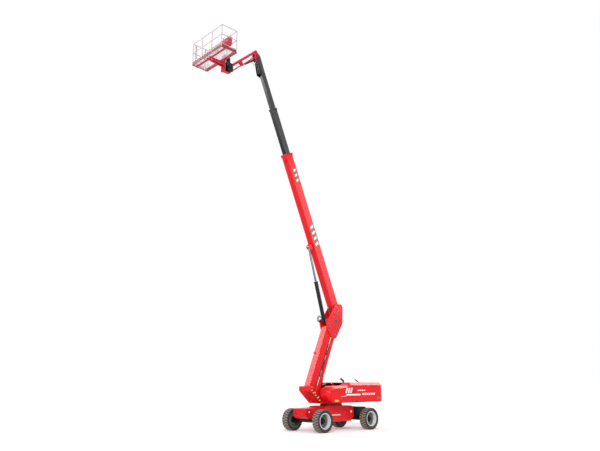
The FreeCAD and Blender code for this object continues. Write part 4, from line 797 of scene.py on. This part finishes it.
def hoses(name, routes, radius, body):
    """Round hoses whose smooth lines have the routes' points as control points."""
    line = bpy.data.curves.new(name + "_line", "CURVE")
    line.dimensions, line.bevel_depth, line.bevel_resolution = "3D", radius, 2
    line.resolution_u, line.use_fill_caps = 6, True
    for route in routes:
        run = line.splines.new("NURBS")
        run.points.add(len(route) - 1)
        run.order_u, run.use_endpoint_u = 3, True
        for point, (x, y, z) in zip(run.points, route):
            point.co = (SLEW_X + x, y, z, 1.0)
    drawn = add_object(name + "_line", line)
    mesh = evaluated_mesh(drawn)
    bpy.data.objects.remove(drawn)
    return finish_piece(add_object(name, mesh), body, HOSE)


def upright_hoses():
    """Pair of hoses that loop out of the right plate and back, in place of the plain one."""
    face = -(UPRIGHT_Y + HOSE_R / 2)
    (x0, z0), (x1, z1) = HOSE_ENDS
    routes = []
    for y, loop in HOSE_LOOPS:
        routes.append([(x0, face, z0)] + [(x, y, z) for x, z in loop] + [(x1, face, z1)])
    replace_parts(hoses("upright_hoses", routes, HOSE_R, "upright"), "upright_hose")
    collars = [disc_outline(x, z, COLLAR_R) for x, z in HOSE_ENDS]
    side_plates("upright_hose_collars", collars, UPRIGHT_Y, -1, "upright", BLACK_PAINT, COLLAR_T)


upright_hoses()

# ---------------------------------------------------------------- hoses clipped along the lower boom
LOWER_BACK = -0.200                  # the rear face, from the boom's middle line
RUN_Y, RUN_R = 0.1875, 0.0105
RUN_OFF, RUN_PITCH = 0.014, 0.024    # the first hose stands off the rear face, and each next one behind it
RUN_START, RUN_END = 0.72, 2.46      # along the boom; each next hose starts lower and ends higher
RUN_SPREAD = 0.03
CLIPS, CLIP_MARGIN = 5, 0.15
CLIP_HALF, CLIP_T = 0.018, 0.023


def lower_boom_hoses():
    """Three hoses down the boom's back, beside the link; each bends into the face at both ends."""
    inside = LOWER_BACK + 0.006
    routes = []
    for row in range(3):
        n = LOWER_BACK - RUN_OFF - row * RUN_PITCH
        bend, reach = 0.02, 0.10 + row * RUN_SPREAD
        s0, s1 = RUN_START - row * RUN_SPREAD, RUN_END + row * RUN_SPREAD
        run = [(s0, inside), (s0 + bend, n), (s0 + reach, n), ((s0 + s1) / 2, n),
               (s1 - reach, n), (s1 - bend, n), (s1, inside)]
        routes.append([(x, RUN_Y, z) for x, z in (lower_point(*at) for at in run)])
    hoses("lower_boom_hoses", routes, RUN_R, "lower_boom")


def lower_boom_clips():
    """Blocks on the boom's back that the three hoses run through."""
    top, low = LOWER_BACK + 0.004, LOWER_BACK - RUN_OFF - 2.7 * RUN_PITCH
    first, last = RUN_START + CLIP_MARGIN, RUN_END - CLIP_MARGIN
    clips = []
    for i in range(CLIPS):
        s = first + i * (last - first) / (CLIPS - 1)
        corners = [(s - CLIP_HALF, top), (s + CLIP_HALF, top), (s + CLIP_HALF, low), (s - CLIP_HALF, low)]
        clips.append([lower_point(*at) for at in corners])
    side_plates("lower_boom_clips", clips, RUN_Y - CLIP_T / 2, 1, "lower_boom", BLACK_PAINT, CLIP_T)


lower_boom_hoses()
lower_boom_clips()

# ---------------------------------------------------------------- toe boards of the platform
TOE_Z, TOE_H, TOE_T = FLOOR_HIGH[2] + 0.006, 0.105, 0.005
DECK_BACK, DECK_FRONT, DECK_Y = FLOOR_LOW[0] + 0.018, FLOOR_HIGH[0] - 0.018, FLOOR_HIGH[1] - 0.022
# x of the gap in the boards at the gate, and of the gate's own board
GATE_POSTS = (4.805, 5.385)
GATE_BOARD = (4.870, 5.320)


def boards(name, spans, body):
    """Upright strips round the floor, each from (x0, y0) to (x1, y1)."""
    bm = bmesh.new()
    for x0, y0, x1, y1 in spans:
        corners = [(x0, y0), (x1, y0), (x1, y1), (x0, y1)]
        prism_into(bm, [(x, y, TOE_Z) for x, y in corners], Vector((0, 0, TOE_H)))
    return finish_piece(add_object(name, closed_mesh(name, bm)), body, FLOOR)


boards("toe_boards", [
    (DECK_BACK, -DECK_Y, DECK_BACK + TOE_T, DECK_Y),
    (DECK_FRONT - TOE_T, -DECK_Y, DECK_FRONT, DECK_Y),
    (DECK_BACK, DECK_Y, DECK_FRONT, DECK_Y + TOE_T),
    (DECK_BACK, -DECK_Y - TOE_T, GATE_POSTS[0], -DECK_Y),
    (GATE_POSTS[1], -DECK_Y - TOE_T, DECK_FRONT, -DECK_Y),
], "platform")
boards("gate_toe_board", [(GATE_BOARD[0], -DECK_Y - TOE_T, GATE_BOARD[1], -DECK_Y)], "platform_gate")

# ---------------------------------------------------------------- stickers and bare plates
# outlines of (x, z) from the slew axis; a row is one slanted block at each of its places in x
BIG_BARS = [slanted(x, x + 0.105, 1.79, 2.03, -0.09) for x in (0.02, -0.15, -0.32)]
LONG_BAR = [(0.070, 1.67), (-0.980, 1.67), (-0.980, 1.74), (0.045, 1.74)]
LOW_ROW = [slanted(x - 0.13, x, 1.685, 1.775, -0.03) for x in (-1.10, -1.27, -1.44, -1.61, -1.78, -1.95)]
HIGH_ROW = [slanted(x - 0.11, x, 1.885, 1.935, -0.02) for x in (-0.78, -0.93, -1.08, -1.23)]
THIN_LINE = [(0.445, 1.625), (0.060, 1.635), (0.060, 1.655), (0.40, 1.640)]
HOOD_WHITE = BIG_BARS + [LONG_BAR] + LOW_ROW + HIGH_ROW + [THIN_LINE]
HOOD_BLACK = [(-0.40, 1.79), (-0.66, 1.79), (-0.60, 1.86), (-0.47, 1.96), (-0.44, 1.96)]
TAIL_PLATE = slanted(-2.47, -2.25, 1.49, 1.585, 0.0)
HAZARD_BAND = [(1.165, 1.345), (1.785, 1.892), (1.785, 2.090), (1.695, 2.090), (1.695, 1.932), (1.105, 1.412)]
HORN_DOTS = [disc_outline(1.530, 1.815, 0.030), disc_outline(1.290, 1.600, 0.030)]
CHASSIS_ROW = [slanted(x, x + 0.075, 0.722, 0.772, 0.02) for x in (-0.09, 0.01, 0.11, 0.21, 0.31, 0.41)]
CHASSIS_MARK, END_MARK = disc_outline(-0.880, 0.883, 0.060), disc_outline(1.930, 0.930, 0.045)

for side_name, side in SIDES.items():
    hood = side_name + "_hood"
    side_plates(hood + "_white_stripes", HOOD_WHITE, HOOD_Y, side, hood, WHITE_S)
    side_plates(hood + "_black_stripe", [HOOD_BLACK], HOOD_Y, side, hood, BLACK_S)
    side_plates(side_name + "_tail_plate", [TAIL_PLATE], HOOD_Y, side, "turntable", PLATE)
    side_plates(side_name + "_hazard_band", [HAZARD_BAND], HORN_Y, side, "turntable", HAZARD)
    side_plates(side_name + "_horn_dots", HORN_DOTS, HORN_Y, side, "turntable", WHITE_S)
    side_plates(side_name + "_chassis_dashes", CHASSIS_ROW, CHASSIS_Y, side, "chassis", WHITE_S)
    side_plates(side_name + "_chassis_mark", [CHASSIS_MARK], CHASSIS_Y, side, "chassis", WHITE_S)
    side_plates(side_name + "_end_mark", [END_MARK], END_BOX_Y, side, "chassis", WHITE_S)

BLOCK_MIDDLE = -0.03                 # middle of the rows, a little above that of the boom


def boom_blocks(start, end, pitch, half, share, lean):
    """Slanted blocks in a row on the side of the main boom."""
    blocks = []
    s = start
    while s < end:
        high, low = s + pitch * share, s + lean
        corners = [(s, half), (high, half), (high + lean, -half), (low, -half)]
        blocks.append([boom_point(a, n + BLOCK_MIDDLE) for a, n in corners])
        s += pitch
    return blocks


# name: start and end along the boom, pitch, half its height, share of the pitch, lean; look, lift
BOOM_BLOCKS = {
    "boom_black_low": ((3.40, 4.60, 0.305, 0.150, 0.86, 0.10), BLACK_S, LIFT),
    "boom_white_low": ((3.47, 4.60, 0.305, 0.105, 0.46, 0.07), WHITE_S, LIFT + STICKER),
    "boom_black_high": ((6.90, 7.50, 0.270, 0.125, 0.80, 0.08), BLACK_S, LIFT),
    "boom_white_high": ((6.95, 7.50, 0.270, 0.085, 0.44, 0.05), WHITE_S, LIFT + STICKER),
}
for side_name, side in SIDES.items():
    for name, (row, look, lift) in BOOM_BLOCKS.items():
        side_plates(f"{side_name}_{name}", boom_blocks(*row), MAIN_Y, side, "main_boom", look, lift=lift)


# ---------------------------------------------------------------- camera, light and ground
CAMERA_PLACE = (20.198, 22.236, 2.268)
LOOK_UP, HEADING = 0.25264, -2.32266
LENS, SENSOR = 36.59, 36.0
SKY_LIGHT = 0.66                     # what the sky gives as light, though it shows white
FLOOR_BOUNCE, FLOOR_GLOW = (0.80, 0.80, 0.80), 0.22
PURE_WHITE = (1.0, 1.0, 1.0)


def camera():
    """Stands off the front left corner, a little over two metres up, and looks up at the raised booms."""
    data = bpy.data.cameras.new("camera")
    data.sensor_width, data.lens, data.clip_end = SENSOR, LENS, 500.0
    view = add_object("camera", data)
    view.location = CAMERA_PLACE
    view.rotation_euler = (math.pi / 2 + LOOK_UP, 0.0, HEADING - math.pi / 2)
    bpy.context.scene.camera = view


def backdrop_ray(graph):
    """1 for what the camera, gloss and glass see, 0 for the light that falls on the machine."""
    camera_ray, glossy_ray, glass_ray = (
        graph.node("ShaderNodeLightPath", {}, {}, f"Is {kind} Ray")
        for kind in ("Camera", "Glossy", "Transmission"))
    return camera_ray.larger(glossy_ray).larger(glass_ray)


def sky():
    """White to the camera, to gloss and through glass; a plain level for the light itself."""
    world = bpy.data.worlds.new("studio")
    world.use_nodes = True
    bpy.context.scene.world = world
    graph = Graph(world.node_tree)
    background = world.node_tree.nodes["Background"]
    graph.link((*PURE_WHITE, 1.0), background.inputs["Color"])
    a, b = MIX_NUMBERS
    strength = graph.node("ShaderNodeMix", {}, {"Factor": backdrop_ray(graph), a: SKY_LIGHT, b: 1.0})
    graph.link(strength, background.inputs["Strength"])


def softbox(name, place, target, size, radiance):
    """Round panel that only gloss sees, so that it leaves the level of light as it is."""
    data = bpy.data.lights.new(name, "AREA")
    data.shape, data.size, data.energy = "DISK", size, radiance * math.pi ** 2 * size ** 2 / 4
    lamp = add_object(name, data)
    lamp.location = place
    lamp.rotation_euler = (Vector(place) - Vector(target)).to_track_quat("Z", "Y").to_euler()
    lamp.visible_diffuse = False


def sun(direction, strength, angle):
    """Broad soft lamp that shines from that direction."""
    data = bpy.data.lights.new("sun", "SUN")
    data.energy, data.angle = strength, angle
    add_object("sun", data).rotation_euler = Vector(direction).to_track_quat("Z", "Y").to_euler()


def ground():
    """White studio floor, which keeps the machine's shadow."""
    bpy.ops.mesh.primitive_plane_add(size=600.0, location=(0.0, 0.0, -0.001))
    floor = bpy.context.object
    floor.name = "studio_floor"
    finish = Finish("studio_floor", PURE_WHITE, 1.0, gloss=0.0)
    finish.set("Emission Color", (*PURE_WHITE, 1.0))
    finish.set("Emission Strength", FLOOR_GLOW)
    finish.colour(finish.mix(backdrop_ray(finish), FLOOR_BOUNCE, PURE_WHITE))
    floor.data.materials.append(finish.material)


bpy.context.scene.view_settings.view_transform = "Standard"
camera()
sky()
sun((0.66, 0.62, 0.46), 1.6, 0.30)
softbox("front_softbox", (14.0, -16.0, 19.0), (-2.0, 0.0, 5.0), 13.0, 13.0)
softbox("rear_softbox", (-19.0, 18.0, 15.5), (-3.0, 0.0, 7.0), 15.0, 4.5)
softbox("hood_softbox", (-20.0, 1.5, 19.0), (-3.0, 0.5, 2.0), 15.0, 9.0)
softbox("nose_softbox", (25.0, 24.0, 5.0), (-2.0, 0.5, 2.0), 20.0, 12.0)
ground()
